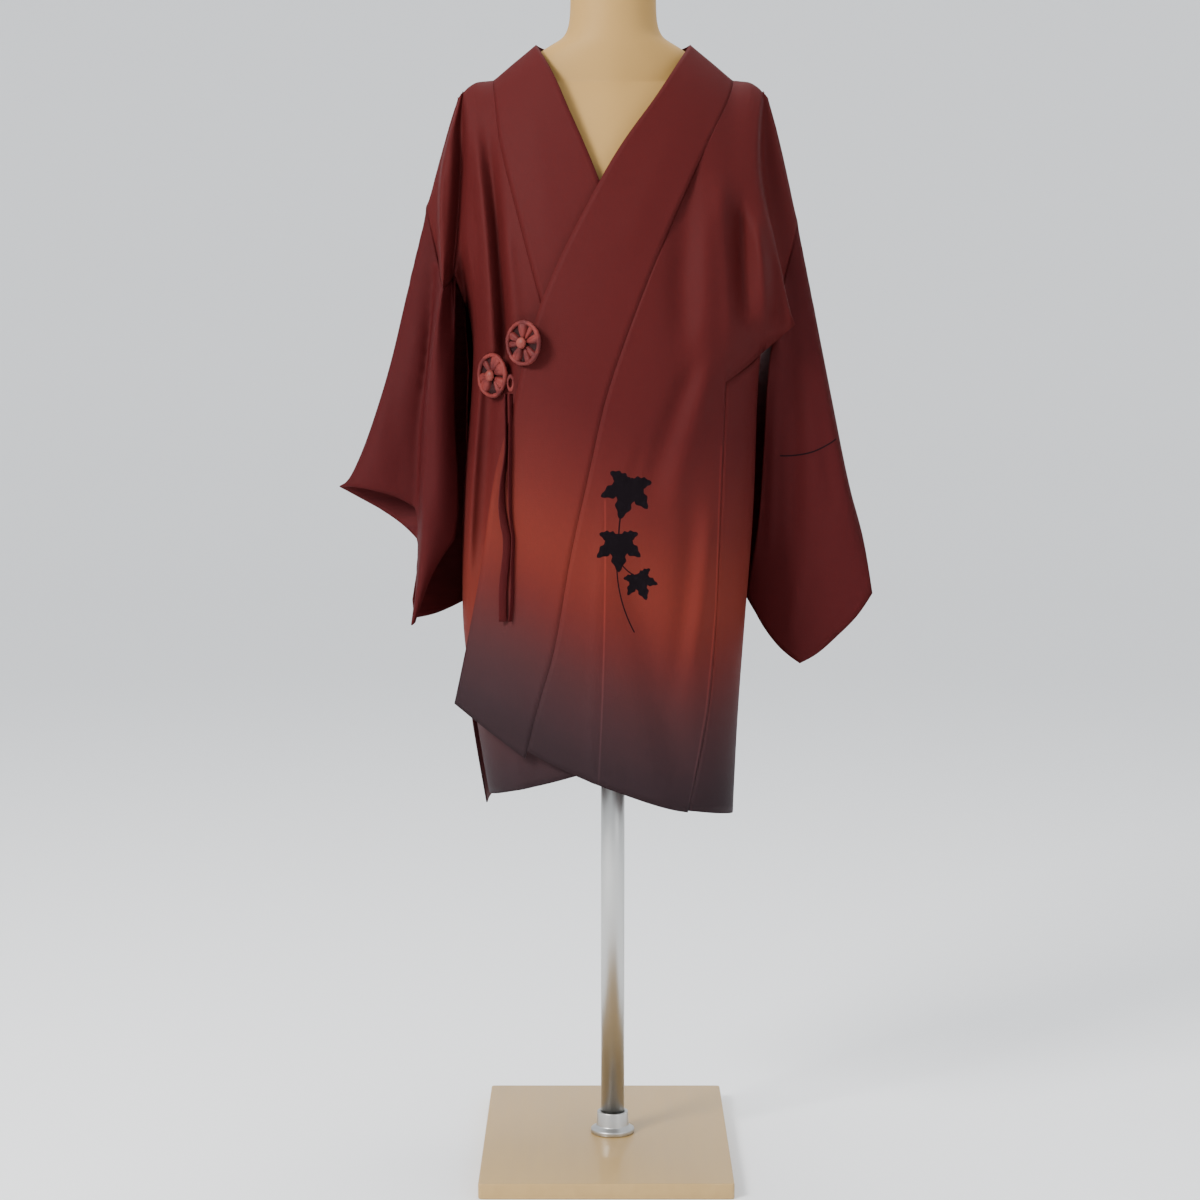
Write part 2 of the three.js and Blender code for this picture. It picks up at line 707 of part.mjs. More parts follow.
function bodyPanel(half) {
  const cloth = new Cloth();
  const flip = half.sign < 0;
  const front = frontLower(half);
  cloth.addGrid(front, flip);
  cloth.addGrid(frontUpper(half, front[lowerRows]), flip);
  const back = backLower(half);
  cloth.addGrid(back, !flip);
  cloth.addGrid(backUpper(half, back[lowerRows]), !flip);
  if (half.sign > 0) {
    cloth.addGrid(backAround(half), !flip);
  }
  const shoulder = loft(shoulderLines(half), shoulderShares, 2);
  cloth.addGrid(shoulder, !flip);
  cloth.addGrid([shoulder[upperRows], ...sleeveRows(half).slice(1, 2)], !flip, cloth.neighbours);
  return cloth.solid(wall);
}

// ---------------------------------------------------------------- sleeves

function sleeveRows(half) {
  const rows = 15;
  const shoulder = shoulderLines(half);
  const last = shoulder.length - 1;
  const lines = half.armLines.map((line, index) => {
    const curve = curveThrough([shoulder[index](1).toArray(), ...line.sleeve]);
    const tipClear = half.tipClear[index < last / 2 ? "front" : "back"];
    const clear = tipClear * ([1, 0.45][Math.min(index, last - index)] ?? 0);
    const skip = (armholeGap + clear * wall) / curve.getLength();
    return (share) => curve.getPointAt(lerp(skip, 1, share));
  });
  return loft(lines, Array.from({ length: rows + 1 }, (_, row) => row / rows), 2);
}

function sleeve(half) {
  const cloth = new Cloth();
  const rows = sleeveRows(half);
  const shoulder = loft(shoulderLines(half), shoulderShares.slice(-2), 2);
  cloth.addGrid(rows, half.sign > 0);
  cloth.addGrid([shoulder[0], rows[0]], half.sign > 0, cloth.neighbours);
  return cloth.solid(wall);
}

// ---------------------------------------------------------------- collar bands

// Heights of the panel's rows along the collar seam, from the hem to the shoulder.
function seamHeights(half) {
  const foot = hemAt(half, half.band[1].seam);
  const lower = Array.from({ length: lowerRows }, (_, row) => lerp(foot, slitHeight, row / lowerRows));
  return [...lower, ...breakRows.map((rise) => lerp(slitHeight, bandEnd.height, rise))];
}

function collarBand(half) {
  const cloth = new Cloth();
  const flip = half.sign > 0;
  const columns = 4;
  const heights = seamHeights(half);
  const edgeFoot = hemAt(half, half.band[1].edge);
  const front = heights.map((seamHeight) => {
    const rise = (seamHeight - heights[0]) / (bandEnd.height - heights[0]);
    const edgeHeight = lerp(edgeFoot, nape.height, rise);
    const seam = readTable(half.band, "height", "seam", seamHeight);
    const edge = readTable(half.band, "height", "edge", edgeHeight);
    return Array.from({ length: columns + 1 }, (_, column) => {
      const across = lerp(seam, edge, column / columns);
      const height = lerp(seamHeight, edgeHeight, column / columns);
      return facePoint(half.front, across, Math.min(height, shoulderHeight(across)));
    });
  });
  cloth.addGrid(front, flip);
  cloth.addGrid(bandBehind(half, front[front.length - 1]), flip);
  return cloth.solid(wall);
}

// From the shoulder round the back of the neck to the centre seam.
function bandBehind(half, shoulderRow) {
  const steps = 8;
  const rows = [shoulderRow];
  for (let step = 1; step <= steps; step += 1) {
    const turn = (Math.PI / 2) * (step / steps);
    const seam = napeSeam(half, turn, 0);
    const edge = new THREE.Vector3(
      half.sign * nape.halfWidth * Math.cos(turn),
      napeDepth * Math.sin(turn),
      nape.height - napeDrop.edge * Math.pow(Math.sin(turn), 2),
    );
    if (step === steps) {
      seam.x = half.sign * centreGap;
      edge.x = half.sign * centreGap;
    }
    rows.push(shoulderRow.map((_, index) => {
      const share = index / (shoulderRow.length - 1);
      const point = seam.clone().lerp(edge, share);
      const bulge = 4 * Math.sin(Math.PI * share) * Math.sin(turn);
      return point.add(new THREE.Vector3(0, bulge, bulge / 2));
    }));
  }
  return rows;
}

// ---------------------------------------------------------------- fastenings

// A disc in its own plane (+Z outwards): rolled rim, petals round a flat hub.
function rosetteDisc() {
  const around = rosette.petals * 6;
  const rings = [
    { radius: 0, rise: 1 },
    { radius: rosette.hub, rise: 1 },
    { radius: rosette.hub + 2, rise: 1 },
    { radius: rosette.radius * 0.5, rise: 1.05 },
    { radius: rosette.radius * 0.72, rise: 0.95 },
    { radius: rosette.radius - rosette.rimRoll * 1.5, rise: 0.55 },
    { radius: rosette.radius - rosette.rimRoll, rise: -1 },
    { radius: rosette.radius - rosette.rimRoll * 0.45, rise: -1.12 },
    { radius: rosette.radius, rise: -0.6 },
    { radius: rosette.radius, rise: 0 },
    { radius: rosette.radius * 0.5, rise: 0 },
    { radius: 0, rise: 0 },
  ];
  const points = [];
  const faces = [];
  const rows = rings.map((ring, index) => {
    if (ring.radius === 0) {
      const height = index === 0 ? rosette.base + rosette.petalRise : 0;
      points.push(new THREE.Vector3(0, 0, height));
      return Array(around).fill(points.length - 1);
    }
    return Array.from({ length: around }, (_, step) => {
      const angle = (2 * Math.PI * step) / around;
      const petal = 0.5 + 0.5 * Math.cos(angle * rosette.petals);
      const gather = ring.radius > rosette.hub ? Math.pow(petal, 0.7) : 1;
      const rim = ring.rise < 0 ? -ring.rise * (rosette.base + rosette.petalRise) : 0;
      const petalTop = rosette.base + rosette.petalRise * ring.rise * gather;
      const height = index > 8 ? 0 : Math.max(rim, ring.rise < 0 ? 0 : petalTop);
      points.push(new THREE.Vector3(ring.radius * Math.cos(angle), ring.radius * Math.sin(angle), height));
      return points.length - 1;
    });
  });
  for (let row = 0; row < rows.length - 1; row += 1) {
    for (let step = 0; step < around; step += 1) {
      const next = (step + 1) % around;
      const corners = [rows[row][step], rows[row + 1][step], rows[row + 1][next], rows[row][next]];
      if (corners[0] !== corners[3]) {
        faces.push([corners[0], corners[1], corners[3]]);
      }
      if (corners[1] !== corners[2]) {
        faces.push([corners[1], corners[2], corners[3]]);
      }
    }
  }
  return solidGeometry(points, faces);
}

function buttonDome() {
  const profile = [new THREE.Vector2(0, 0), new THREE.Vector2(buttonSize.radius * 0.8, 0)];
  for (let step = 0; step < 5; step += 1) {
    const angle = (Math.PI / 2) * (step / 5);
    profile.push(new THREE.Vector2(
      buttonSize.radius * Math.cos(angle),
      0.8 + (buttonSize.rise - 0.8) * Math.sin(angle),
    ));
  }
  profile.push(new THREE.Vector2(0, buttonSize.rise));
  return new THREE.LatheGeometry(profile, 16).rotateX(Math.PI / 2);
}

// Where a rosette sits: turned about the upright axis, standing off the cloth.
function fasteningPlace(fastening) {
  const seat = facePoint(fastening.layer, fastening.across, fastening.height);
  const turn = degToRad(fastening.turn);
  const out = new THREE.Vector3(Math.sin(turn), -Math.cos(turn), 0);
  const side = new THREE.Vector3(Math.cos(turn), Math.sin(turn), 0);
  const place = new THREE.Matrix4().makeBasis(side, new THREE.Vector3(0, 0, 1), out);
  return place.setPosition(seat.addScaledVector(out, fastening.stand));
}

function loopRing() {
  const seat = facePoint("outer", buttonLoop.across, buttonLoop.height);
  return new THREE.TorusGeometry(buttonLoop.reach, buttonLoop.roll, 6, 20)
    .scale(1, buttonLoop.stretch, 1)
    .rotateX(Math.PI / 2)
    .translate(seat.x, seat.y - buttonLoop.stand, seat.z);
}

function tieStrip(column, lift) {
  const cloth = new Cloth();
  const top = tieLine[tieLine.length - 1].height;
  cloth.addGrid(gridOf(16, 2, (share, rise) => {
    const height = lerp(tieLine[0].height, top, rise);
    const across = readTable(tieLine, "height", column, height) + (share - 0.5) * tieSize.width;
    return facePoint("outer", across, height).add(new THREE.Vector3(-lift * 0.4, -lift, 0));
  }), false);
  return cloth.solid(tieSize.thick);
}

// ---------------------------------------------------------------- form and stand

function torso() {
  const around = 24;
  const shoulder = formShoulder.map(({ halfWidth, under, depth, power }) => {
    return { height: shoulderHeight(halfWidth) - under, halfWidth, front: depth, back: depth, power };
  });
  const neckRing = { halfWidth: neck.radius, front: neck.radius, back: neck.radius, power: 2 };
  const neckHeights = [neck.foot, (neck.foot + neck.top) / 2, neck.top - neck.dome];
  const sections = [...formSections, ...shoulder, ...neckHeights.map((height) => ({ ...neckRing, height }))];
  const points = [];
  const rows = sections.map((row) => Array.from({ length: around }, (_, step) => {
    const angle = (2 * Math.PI * step) / around;
    const reach = (value) => Math.sign(value) * Math.pow(Math.abs(value), 2 / row.power);
    const depth = Math.sin(angle) < 0 ? row.front : row.back;
    const place = [row.halfWidth * reach(Math.cos(angle)), depth * reach(Math.sin(angle)), row.height];
    points.push(new THREE.Vector3(...place));
    return points.length - 1;
  }));
  const faces = [];
  for (let row = 0; row < rows.length - 1; row += 1) {
    for (let step = 0; step < around; step += 1) {
      const next = (step + 1) % around;
      faces.push([rows[row][step], rows[row][next], rows[row + 1][next]]);
      faces.push([rows[row][step], rows[row + 1][next], rows[row + 1][step]]);
    }
  }
  points.push(new THREE.Vector3(0, 0, formSections[0].height), new THREE.Vector3(0, 0, neck.top));
  for (let step = 0; step < around; step += 1) {
    const next = (step + 1) % around;
    faces.push([points.length - 2, rows[0][next], rows[0][step]]);
    faces.push([points.length - 1, rows[rows.length - 1][step], rows[rows.length - 1][next]]);
  }
  return solidGeometry(points, faces);
}

function standPole() {
  const foot = board.thick + seamGap;
  const length = formSections[0].height - seamGap - foot;
  return new THREE.CylinderGeometry(pole.radius, pole.radius, length, 20)
    .rotateX(Math.PI / 2)
    .translate(0, 0, foot + length / 2);
}

function poleSocket() {
  const foot = board.thick + seamGap;
  const hole = pole.radius + seamGap;
  const profile = [
    [hole, foot],
    [socket.radius, foot],
    [socket.radius, foot + 5],
    [hole + 5, foot + 9],
    [hole + 4, foot + socket.height],
    [hole, foot + socket.height],
    [hole, foot],
  ].map(([radius, height]) => new THREE.Vector2(radius, height));
  return new THREE.LatheGeometry(profile, 24).rotateX(Math.PI / 2);
}

function baseBoard() {
  const half = { x: board.width / 2, y: board.depth / 2 };
  const outline = new THREE.Shape();
  outline.moveTo(-half.x + board.round, -half.y);
  outline.lineTo(half.x - board.round, -half.y);
  outline.absarc(half.x - board.round, -half.y + board.round, board.round, -Math.PI / 2, 0);
  outline.lineTo(half.x, half.y - board.round);
  outline.absarc(half.x - board.round, half.y - board.round, board.round, 0, Math.PI / 2);
  outline.lineTo(-half.x + board.round, half.y);
  outline.absarc(-half.x + board.round, half.y - board.round, board.round, Math.PI / 2, Math.PI);
  outline.lineTo(-half.x, -half.y + board.round);
  outline.absarc(-half.x + board.round, -half.y + board.round, board.round, Math.PI, Math.PI * 1.5);
  return new THREE.ExtrudeGeometry(outline, { depth: board.thick, bevelEnabled: false, curveSegments: 4 })
    .translate(board.shift, 0, 0);
}

// ---------------------------------------------------------------- assembly

const coat = new THREE.Group();

function finish(colour, roughness = 0.62, metalness = 0) {
  return new THREE.MeshStandardMaterial({ color: colour, roughness, metalness });
}

function add(name, geometry, material) {
  const mesh = new THREE.Mesh(geometry, material);
  mesh.name = name;
  coat.add(mesh);
  return mesh;
}

add("body_left", bodyPanel(halves.left), finish(colours.burgundy));
add("body_right", bodyPanel(halves.right), finish(colours.burgundy));
add("sleeve_left", sleeve(halves.left), finish(colours.burgundy));
add("sleeve_right", sleeve(halves.right), finish(colours.burgundy));
add("collar_left", collarBand(halves.left), finish(colours.burgundy));
add("collar_right", collarBand(halves.right), finish(colours.burgundy));

for (const fastening of fastenings) {
  const place = fasteningPlace(fastening);
  add(`rosette_${fastening.name}`, rosetteDisc(), finish(colours.rosette)).applyMatrix4(place);
  const button = add(`button_${fastening.name}`, buttonDome(), finish(colours.button));
  button.applyMatrix4(new THREE.Matrix4().makeTranslation(0, 0, rosette.petalRise + rosette.base + seamGap));
  button.applyMatrix4(place);
}
add("button_loop", loopRing(), finish(colours.rosette));
add("tie_front", tieStrip("front", tieSize.lift + tieSize.thick + seamGap), finish(colours.burgundy));
add("tie_behind", tieStrip("behind", tieSize.lift), finish(colours.burgundy));

add("form_torso", torso(), finish(colours.formCloth, 0.85));
add("stand_pole", standPole(), finish(colours.steel, 0.35, 0.9));
add("pole_socket", poleSocket(), finish(colours.steel, 0.4, 0.9));
add("base_board", baseBoard(), finish(colours.board, 0.5));

export default coat;
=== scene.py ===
import math
import bmesh
import bpy
import numpy as np
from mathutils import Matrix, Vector


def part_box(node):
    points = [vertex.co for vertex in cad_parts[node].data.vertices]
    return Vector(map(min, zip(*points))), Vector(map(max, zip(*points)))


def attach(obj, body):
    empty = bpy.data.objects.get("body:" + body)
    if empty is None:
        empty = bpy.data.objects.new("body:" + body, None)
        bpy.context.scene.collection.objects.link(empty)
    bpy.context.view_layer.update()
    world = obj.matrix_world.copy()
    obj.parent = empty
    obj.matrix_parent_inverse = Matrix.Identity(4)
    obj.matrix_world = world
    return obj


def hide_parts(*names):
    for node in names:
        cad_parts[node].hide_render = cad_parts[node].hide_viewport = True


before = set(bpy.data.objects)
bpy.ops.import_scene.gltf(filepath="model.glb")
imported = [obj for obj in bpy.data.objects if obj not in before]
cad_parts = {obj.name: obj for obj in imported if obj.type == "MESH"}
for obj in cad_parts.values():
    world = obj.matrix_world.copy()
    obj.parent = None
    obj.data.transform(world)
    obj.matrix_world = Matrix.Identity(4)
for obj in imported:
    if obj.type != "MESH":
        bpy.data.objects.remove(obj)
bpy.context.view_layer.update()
clothWall = 0.0016  # thickness of every cloth wall
weldGap = 0.00001  # corners nearer than this are one corner
seamReach = 0.00035  # how far an edge goes out to meet the next piece
flatAngle = 3.1  # wide enough to pair all loose triangles


# number sockets that read as sums and products, so that a finish is a plain expression
def plain(value):
    return value.socket if isinstance(value, Field) else value


class Field:
    # wraps a number socket, so that shader maths reads as an expression
    def __init__(self, shader, socket):
        self.shader = shader
        self.socket = socket

    def maths(self, operation, *values):
        node = self.shader.tree.nodes.new("ShaderNodeMath")
        node.operation = operation
        for index, value in enumerate(values):
            self.shader.feed(node.inputs[index], value)
        return Field(self.shader, node.outputs[0])

    def __add__(self, other):
        return self.maths("ADD", self, other)

    def __radd__(self, other):
        return self.maths("ADD", other, self)

    def __sub__(self, other):
        return self.maths("SUBTRACT", self, other)

    def __rsub__(self, other):
        return self.maths("SUBTRACT", other, self)

    def __mul__(self, other):
        return self.maths("MULTIPLY", self, other)

    def __rmul__(self, other):
        return self.maths("MULTIPLY", other, self)

    def __truediv__(self, other):
        return self.maths("DIVIDE", self, other)

    def __pow__(self, other):
        return self.maths("POWER", self, other)

    def magnitude(self):
        return self.maths("ABSOLUTE", self)

    def lowest(self, other):
        return self.maths("MINIMUM", self, other)

    def highest(self, other):
        return self.maths("MAXIMUM", self, other)

    def wave(self):
        return self.maths("SINE", self)

    def ramp(self, start, end):
        # eases from 0 at start to 1 at end
        node = self.shader.node("ShaderNodeMapRange", {"interpolation_type": "SMOOTHSTEP"},
                                {"Value": self, "From Min": start, "From Max": end})
        return Field(self.shader, node.outputs["Result"])


class Shader:
    def __init__(self, name):
        self.material = bpy.data.materials.new(name)
        self.material.use_nodes = True
        self.tree = self.material.node_tree
        self.tree.nodes.clear()
        self.surface = self.tree.nodes.new("ShaderNodeBsdfPrincipled")
        output = self.tree.nodes.new("ShaderNodeOutputMaterial")
        self.tree.links.new(self.surface.outputs[0], output.inputs["Surface"])
        place = self.tree.nodes.new("ShaderNodeTexCoord")
        self.object = place.outputs["Object"]
        axes = self.tree.nodes.new("ShaderNodeSeparateXYZ")
        self.tree.links.new(self.object, axes.inputs[0])
        self.x, self.y, self.z = [Field(self, axes.outputs[axis]) for axis in range(3)]

    def feed(self, socket, value):
        if isinstance(value, (Field, bpy.types.NodeSocket)):
            self.tree.links.new(plain(value), socket)
        else:
            socket.default_value = value

    def node(self, kind, settings=None, values=None):
        made = self.tree.nodes.new(kind)
        for name, value in (settings or {}).items():
            if name == "stops":
                ramp = made.color_ramp
                while len(ramp.elements) < len(value):
                    ramp.elements.new(0.5)
                for element, (position, colour) in zip(ramp.elements, value):
                    element.position = position
                    element.color = (*colour, 1)
            else:
                setattr(made, name, value)
        for name, value in (values or {}).items():
            self.feed(made.inputs[name], value)
        return made

    def noise(self, scale, detail=2.0, stretch=(1, 1, 1), roughness=0.5):
        place = self.node("ShaderNodeMapping", None, {"Vector": self.object, "Scale": stretch})
        made = self.node("ShaderNodeTexNoise", None, {
            "Vector": place.outputs[0], "Scale": scale, "Detail": detail, "Roughness": roughness})
        return Field(self, made.outputs["Fac"])

    def mix(self, factor, first, second, blend="MIX"):
        made = self.tree.nodes.new("ShaderNodeMix")
        made.data_type = "RGBA"
        made.blend_type = blend
        self.feed(made.inputs[0], factor)
        self.feed(made.inputs[6], first if not isinstance(first, tuple) else (*first, 1))
        self.feed(made.inputs[7], second if not isinstance(second, tuple) else (*second, 1))
        return made.outputs[2]

    def bump(self, height, distance, strength=1.0):
        made = self.node("ShaderNodeBump", None, {
            "Height": height, "Distance": distance, "Strength": strength})
        self.tree.links.new(made.outputs[0], self.surface.inputs["Normal"])

    def finish(self, colour, roughness, **constants):
        solid = (*colour, 1) if isinstance(colour, tuple) else colour
        self.feed(self.surface.inputs["Base Color"], solid)
        self.feed(self.surface.inputs["Roughness"], roughness)
        for name, value in constants.items():
            self.surface.inputs[name.replace("_", " ")].default_value = value
        return self.material


def linear(red, green, blue):
    # an sRGB colour in 0 to 255, as the shader wants it
    parts = (red, green, blue)
    return tuple(((part / 255 + 0.055) / 1.055) ** 2.4 if part > 10 else part / 3295 for part in parts)


silk = {
    "burgundy": linear(64, 18, 19),
    "burgundyDeep": linear(57, 15, 17),
    "russet": linear(97, 37, 28),
    "russetDeep": linear(82, 29, 26),
    "dusk": linear(60, 33, 34),
    "plum": linear(45, 31, 34),
    "plumDeep": linear(38, 27, 30),
    "motif": linear(9, 3, 7),
    "lining": linear(74, 24, 24),
    "crepeScale": 900.0,
    "crepeDepth": 0.00016,
    "roughness": 0.66,
    "gloss": 0.07,
}

# where the dye changes, in metres above the hem's own line
dye = {
    "front": {"base": 0.428, "from": 0.080, "slope": 0.28, "curve": 0.70},
    "under": {"base": 0.440, "from": -0.142, "slope": 0.0, "curve": 0.0},
    "back": {"base": 0.430, "from": 0.0, "slope": 0.0, "curve": 0.0},
}
dyeSteps = [(0.00, "plumDeep"), (0.04, "plum"), (0.11, "dusk"), (0.175, "russetDeep"), (0.235, "russet"),
            (0.31, "russetDeep"), (0.42, "burgundy")]


def hemLine(shader, layer):
    rule = dye[layer]
    reach = (rule["from"] - shader.x).highest(0.0)
    return rule["base"] + reach * rule["slope"] + reach * reach * rule["curve"]


def dyedColour(shader, layer):
    # plum at the hem, russet above it, burgundy at the top, with a soft uneven edge
    front = hemLine(shader, layer)
    behind = hemLine(shader, "back")
    turned = shader.y.ramp(-0.05, 0.03)
    hem = front * (1.0 - turned) + behind * turned
    drift = (shader.noise(5.0, 1.0, (1, 1, 0.35)) - 0.5) * 0.05
    above = shader.z - hem + drift
    span = dyeSteps[-1][0]
    stops = [(place / span, silk[name]) for place, name in dyeSteps]
    scaled = above / span
    ramp = shader.node("ShaderNodeValToRGB", {"stops": stops}, {"Fac": scaled})
    ramp.color_ramp.interpolation = "B_SPLINE"
    return ramp.outputs["Color"]


def crepe(shader):
    # fine crinkled threads, longer along the cloth than across
    grain = shader.noise(silk["crepeScale"], 2.0, (1.0, 1.0, 0.45), 0.6)
    slub = shader.noise(260.0, 1.0, (0.25, 0.25, 1.6))
    return grain + slub * 0.6


def silkMaterial(name, layer=None, decorate=None):
    shader = Shader(name)
    grain = crepe(shader)
    if layer:
        colour = dyedColour(shader, layer)
    else:
        colour = shader.mix(shader.noise(3.0, 1.0), silk["burgundyDeep"], silk["burgundy"])
    shade = shader.noise(380.0, 1.0, (1, 1, 0.4))
    colour = shader.mix((shade - 0.35) * 0.22, colour, (0.9, 0.62, 0.58), "SOFT_LIGHT")
    if layer == "front":
        # painted highlight: the cloth is lightened along the pressed edges, as lit ridges
        colour = shader.mix(pressHighlightMask(shader) * 0.8, colour, (1.65, 1.55, 1.5), "MULTIPLY")
    if decorate:
        mask = decorate(shader)
        colour = shader.mix(mask, colour, silk["motif"])
    shader.bump(grain, silk["crepeDepth"], 0.7)
    return shader.finish(colour, silk["roughness"] + (shade - 0.5) * 0.12, Specular_IOR_Level=silk["gloss"])


def liningMaterial():
    shader = Shader("liningSilk")
    pucker = shader.noise(34.0, 2.0, (0.5, 0.5, 5.0))
    colour = shader.mix(pucker, silk["lining"], linear(58, 16, 20))
    shader.bump(pucker, 0.0012, 0.6)
    return shader.finish(colour, 0.7, Specular_IOR_Level=0.08)


# the leaf spray on the outer front: leaves that all grow by one rule, joined by fine stems
leafSpray = {
    "growth": [  # spread from the midrib in degrees, length and half width as shares of size, taper
        (0, 1.00, 0.26, 0.70),
        (50, 0.85, 0.22, 0.70),
        (-50, 0.85, 0.22, 0.70),
        (106, 0.60, 0.17, 0.60),
        (-106, 0.60, 0.17, 0.60),
    ],
    "leaves": [  # x and z of the foot, size, turn of the midrib from straight up in degrees
        (0.018, 0.805, 0.042, 195),
        (0.006, 0.742, 0.038, 180),
        (0.028, 0.698, 0.028, 160),
    ],
    "stems": [  # x and z of both ends, sideways bow, half width
        (0.018, 0.805, 0.006, 0.742, 0.003, 0.0009),
        (0.006, 0.742, 0.024, 0.635, 0.009, 0.0008),
        (0.008, 0.715, 0.028, 0.698, 0.002, 0.0008),
    ],
    "teeth": 0.14,
}


def leafLobes():
    # every leaf grows from its foot by the same rule
    lobes = []
    for footX, footZ, size, turn in leafSpray["leaves"]:
        for spread, length, halfWidth, taper in leafSpray["growth"]:
            angle = math.radians(turn + spread)
            tipX = footX + size * length * math.sin(angle)
            tipZ = footZ + size * length * math.cos(angle)
            lobes.append((footX, footZ, tipX, tipZ, size * halfWidth, taper))
    return lobes


def lobeMask(shader, rootX, rootZ, tipX, tipZ, halfWidth, taper):
    length = math.hypot(tipX - rootX, tipZ - rootZ)
    alongX, alongZ = (tipX - rootX) / length, (tipZ - rootZ) / length
    dx, dz = shader.x - rootX, shader.z - rootZ
    along = (dx * alongX + dz * alongZ) / length
    across = (dx * alongZ - dz * alongX).magnitude()
    held = along.highest(0.0).lowest(1.0)
    peak = (0.4 / (0.4 + taper) + 0.04) ** 0.4 * (taper / (0.4 + taper)) ** taper
    profile = (held + 0.04) ** 0.4 * (1.0 - held) ** taper / peak
    teeth = 1.0 + (along * 21.0).wave() * leafSpray["teeth"]
    beyond = (along - held).magnitude() * length + 0.0004
    return profile * teeth * halfWidth - across - beyond


def stemMask(shader, startX, startZ, endX, endZ, bow, halfWidth):
    length = math.hypot(endX - startX, endZ - startZ)
    alongX, alongZ = (endX - startX) / length, (endZ - startZ) / length
    dx, dz = shader.x - startX, shader.z - startZ
    along = (dx * alongX + dz * alongZ) / length
    across = dx * alongZ - dz * alongX
    curve = along * (1.0 - along) * (4.0 * bow)
    inside = halfWidth - (across - curve).magnitude()
    ends = (along * (1.0 - along)) * 0.05
    return inside.lowest(ends)


# painted highlight on the outer front: light lines along the pressed edges, where the ridges catch the light;
# x and z of both ends, sideways bow, half width
pressHighlightLines = [
    (-0.0095, 0.7860, -0.0182, 0.4400, -0.0030, 0.0009),
    (0.1225, 0.8450, 0.1174, 0.6600, 0.0004, 0.0009),
    (0.1176, 0.6660, 0.1064, 0.5430, -0.0004, 0.0009),
    (0.1067, 0.5460, 0.0876, 0.4360, -0.0004, 0.0009),
]


def pressHighlightMask(shader):
    # how much painted highlight each point of the front gets, along the pressed edges
    inside = None
    for line in pressHighlightLines:
        edge = stemMask(shader, *line)
        inside = edge if inside is None else inside.highest(edge)
    onFront = 1.0 - shader.y.ramp(-0.06, -0.05)
    return inside.ramp(-0.0008, 0.0008) * onFront


def leafMask(shader):
    inside = None
    for lobe in leafLobes():
        edge = lobeMask(shader, *lobe)
        inside = edge if inside is None else inside.highest(edge)
    for stem in leafSpray["stems"]:
        inside = inside.highest(stemMask(shader, *stem))
    onFront = 1.0 - shader.y.ramp(-0.06, -0.05)
    return inside.ramp(-0.0002, 0.0003) * onFront


def sleeveStemMask(shader):
    inside = stemMask(shader, 0.195, 0.830, 0.260, 0.850, 0.006, 0.0009)
    onFront = 1.0 - shader.y.ramp(-0.004, 0.002)
    return inside.ramp(-0.0002, 0.0003) * onFront


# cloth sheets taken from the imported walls
def packedShape(nodeName):
    # a node's loose triangles, merged into one closed surface
    shape = bmesh.new()
    shape.from_mesh(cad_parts[nodeName].data)
    bmesh.ops.remove_doubles(shape, verts=shape.verts, dist=weldGap)
    return shape


def pairTriangles(shape):
    bmesh.ops.join_triangles(shape, faces=shape.faces, angle_face_threshold=flatAngle,
                             angle_shape_threshold=flatAngle)


def outerSheet(nodeName, centre=None):
    # the outward face of a packed wall, as an open mesh of quads
    sheet = packedShape(nodeName)
    slack = 0.000012

    def crossesWall(face):
        return any(abs(edge.calc_length() - clothWall) < slack for edge in face.edges)
    rim = [face for face in sheet.faces if crossesWall(face)]
    bmesh.ops.delete(sheet, geom=rim, context="FACES_ONLY")
    islands = []
    left = set(sheet.faces)
    while left:
        stack, island = [left.pop()], []
        while stack:
            face = stack.pop()
            island.append(face)
            for edge in face.edges:
                for other in edge.link_faces:
                    if other in left:
                        left.remove(other)
                        stack.append(other)
        islands.append(island)

    def outwardness(island):
        total = 0.0
        for face in island:
            middle = face.calc_center_median()
            axis = Vector((0, 0, middle.z)) if centre is None else Vector(centre)
            total += face.normal.dot(middle - axis) * face.calc_area()
        return total
    kept = max(islands, key=outwardness)
    keptSet = set(kept)
    bmesh.ops.delete(sheet, geom=[face for face in sheet.faces if face not in keptSet], context="FACES")
    loose = [vert for vert in sheet.verts if not vert.link_faces]
    bmesh.ops.delete(sheet, geom=loose, context="VERTS")
    pairTriangles(sheet)
    return sheet


def meshObject(name, sheet, *materials):
    mesh = bpy.data.meshes.new(name)
    sheet.to_mesh(mesh)
    sheet.free()
    made = bpy.data.objects.new(name, mesh)
    bpy.context.scene.collection.objects.link(made)
    for material in materials:
        mesh.materials.append(material)
    for polygon in mesh.polygons:
        polygon.use_smooth = True
    return made


def bakeModifiers(piece):
    graph = bpy.context.evaluated_depsgraph_get()
    baked = bpy.data.meshes.new_from_object(piece.evaluated_get(graph))
    old = piece.data
    piece.modifiers.clear()
    piece.data = baked
    bpy.data.meshes.remove(old)
    for polygon in baked.polygons:
        polygon.use_smooth = True


# how sheets are smoothed: the sharpest bend that still isn't a corner, and rounds of evening out
smoothing = {"cornerAngle": 158, "cornerRadius": 0.016, "rounds": 4}


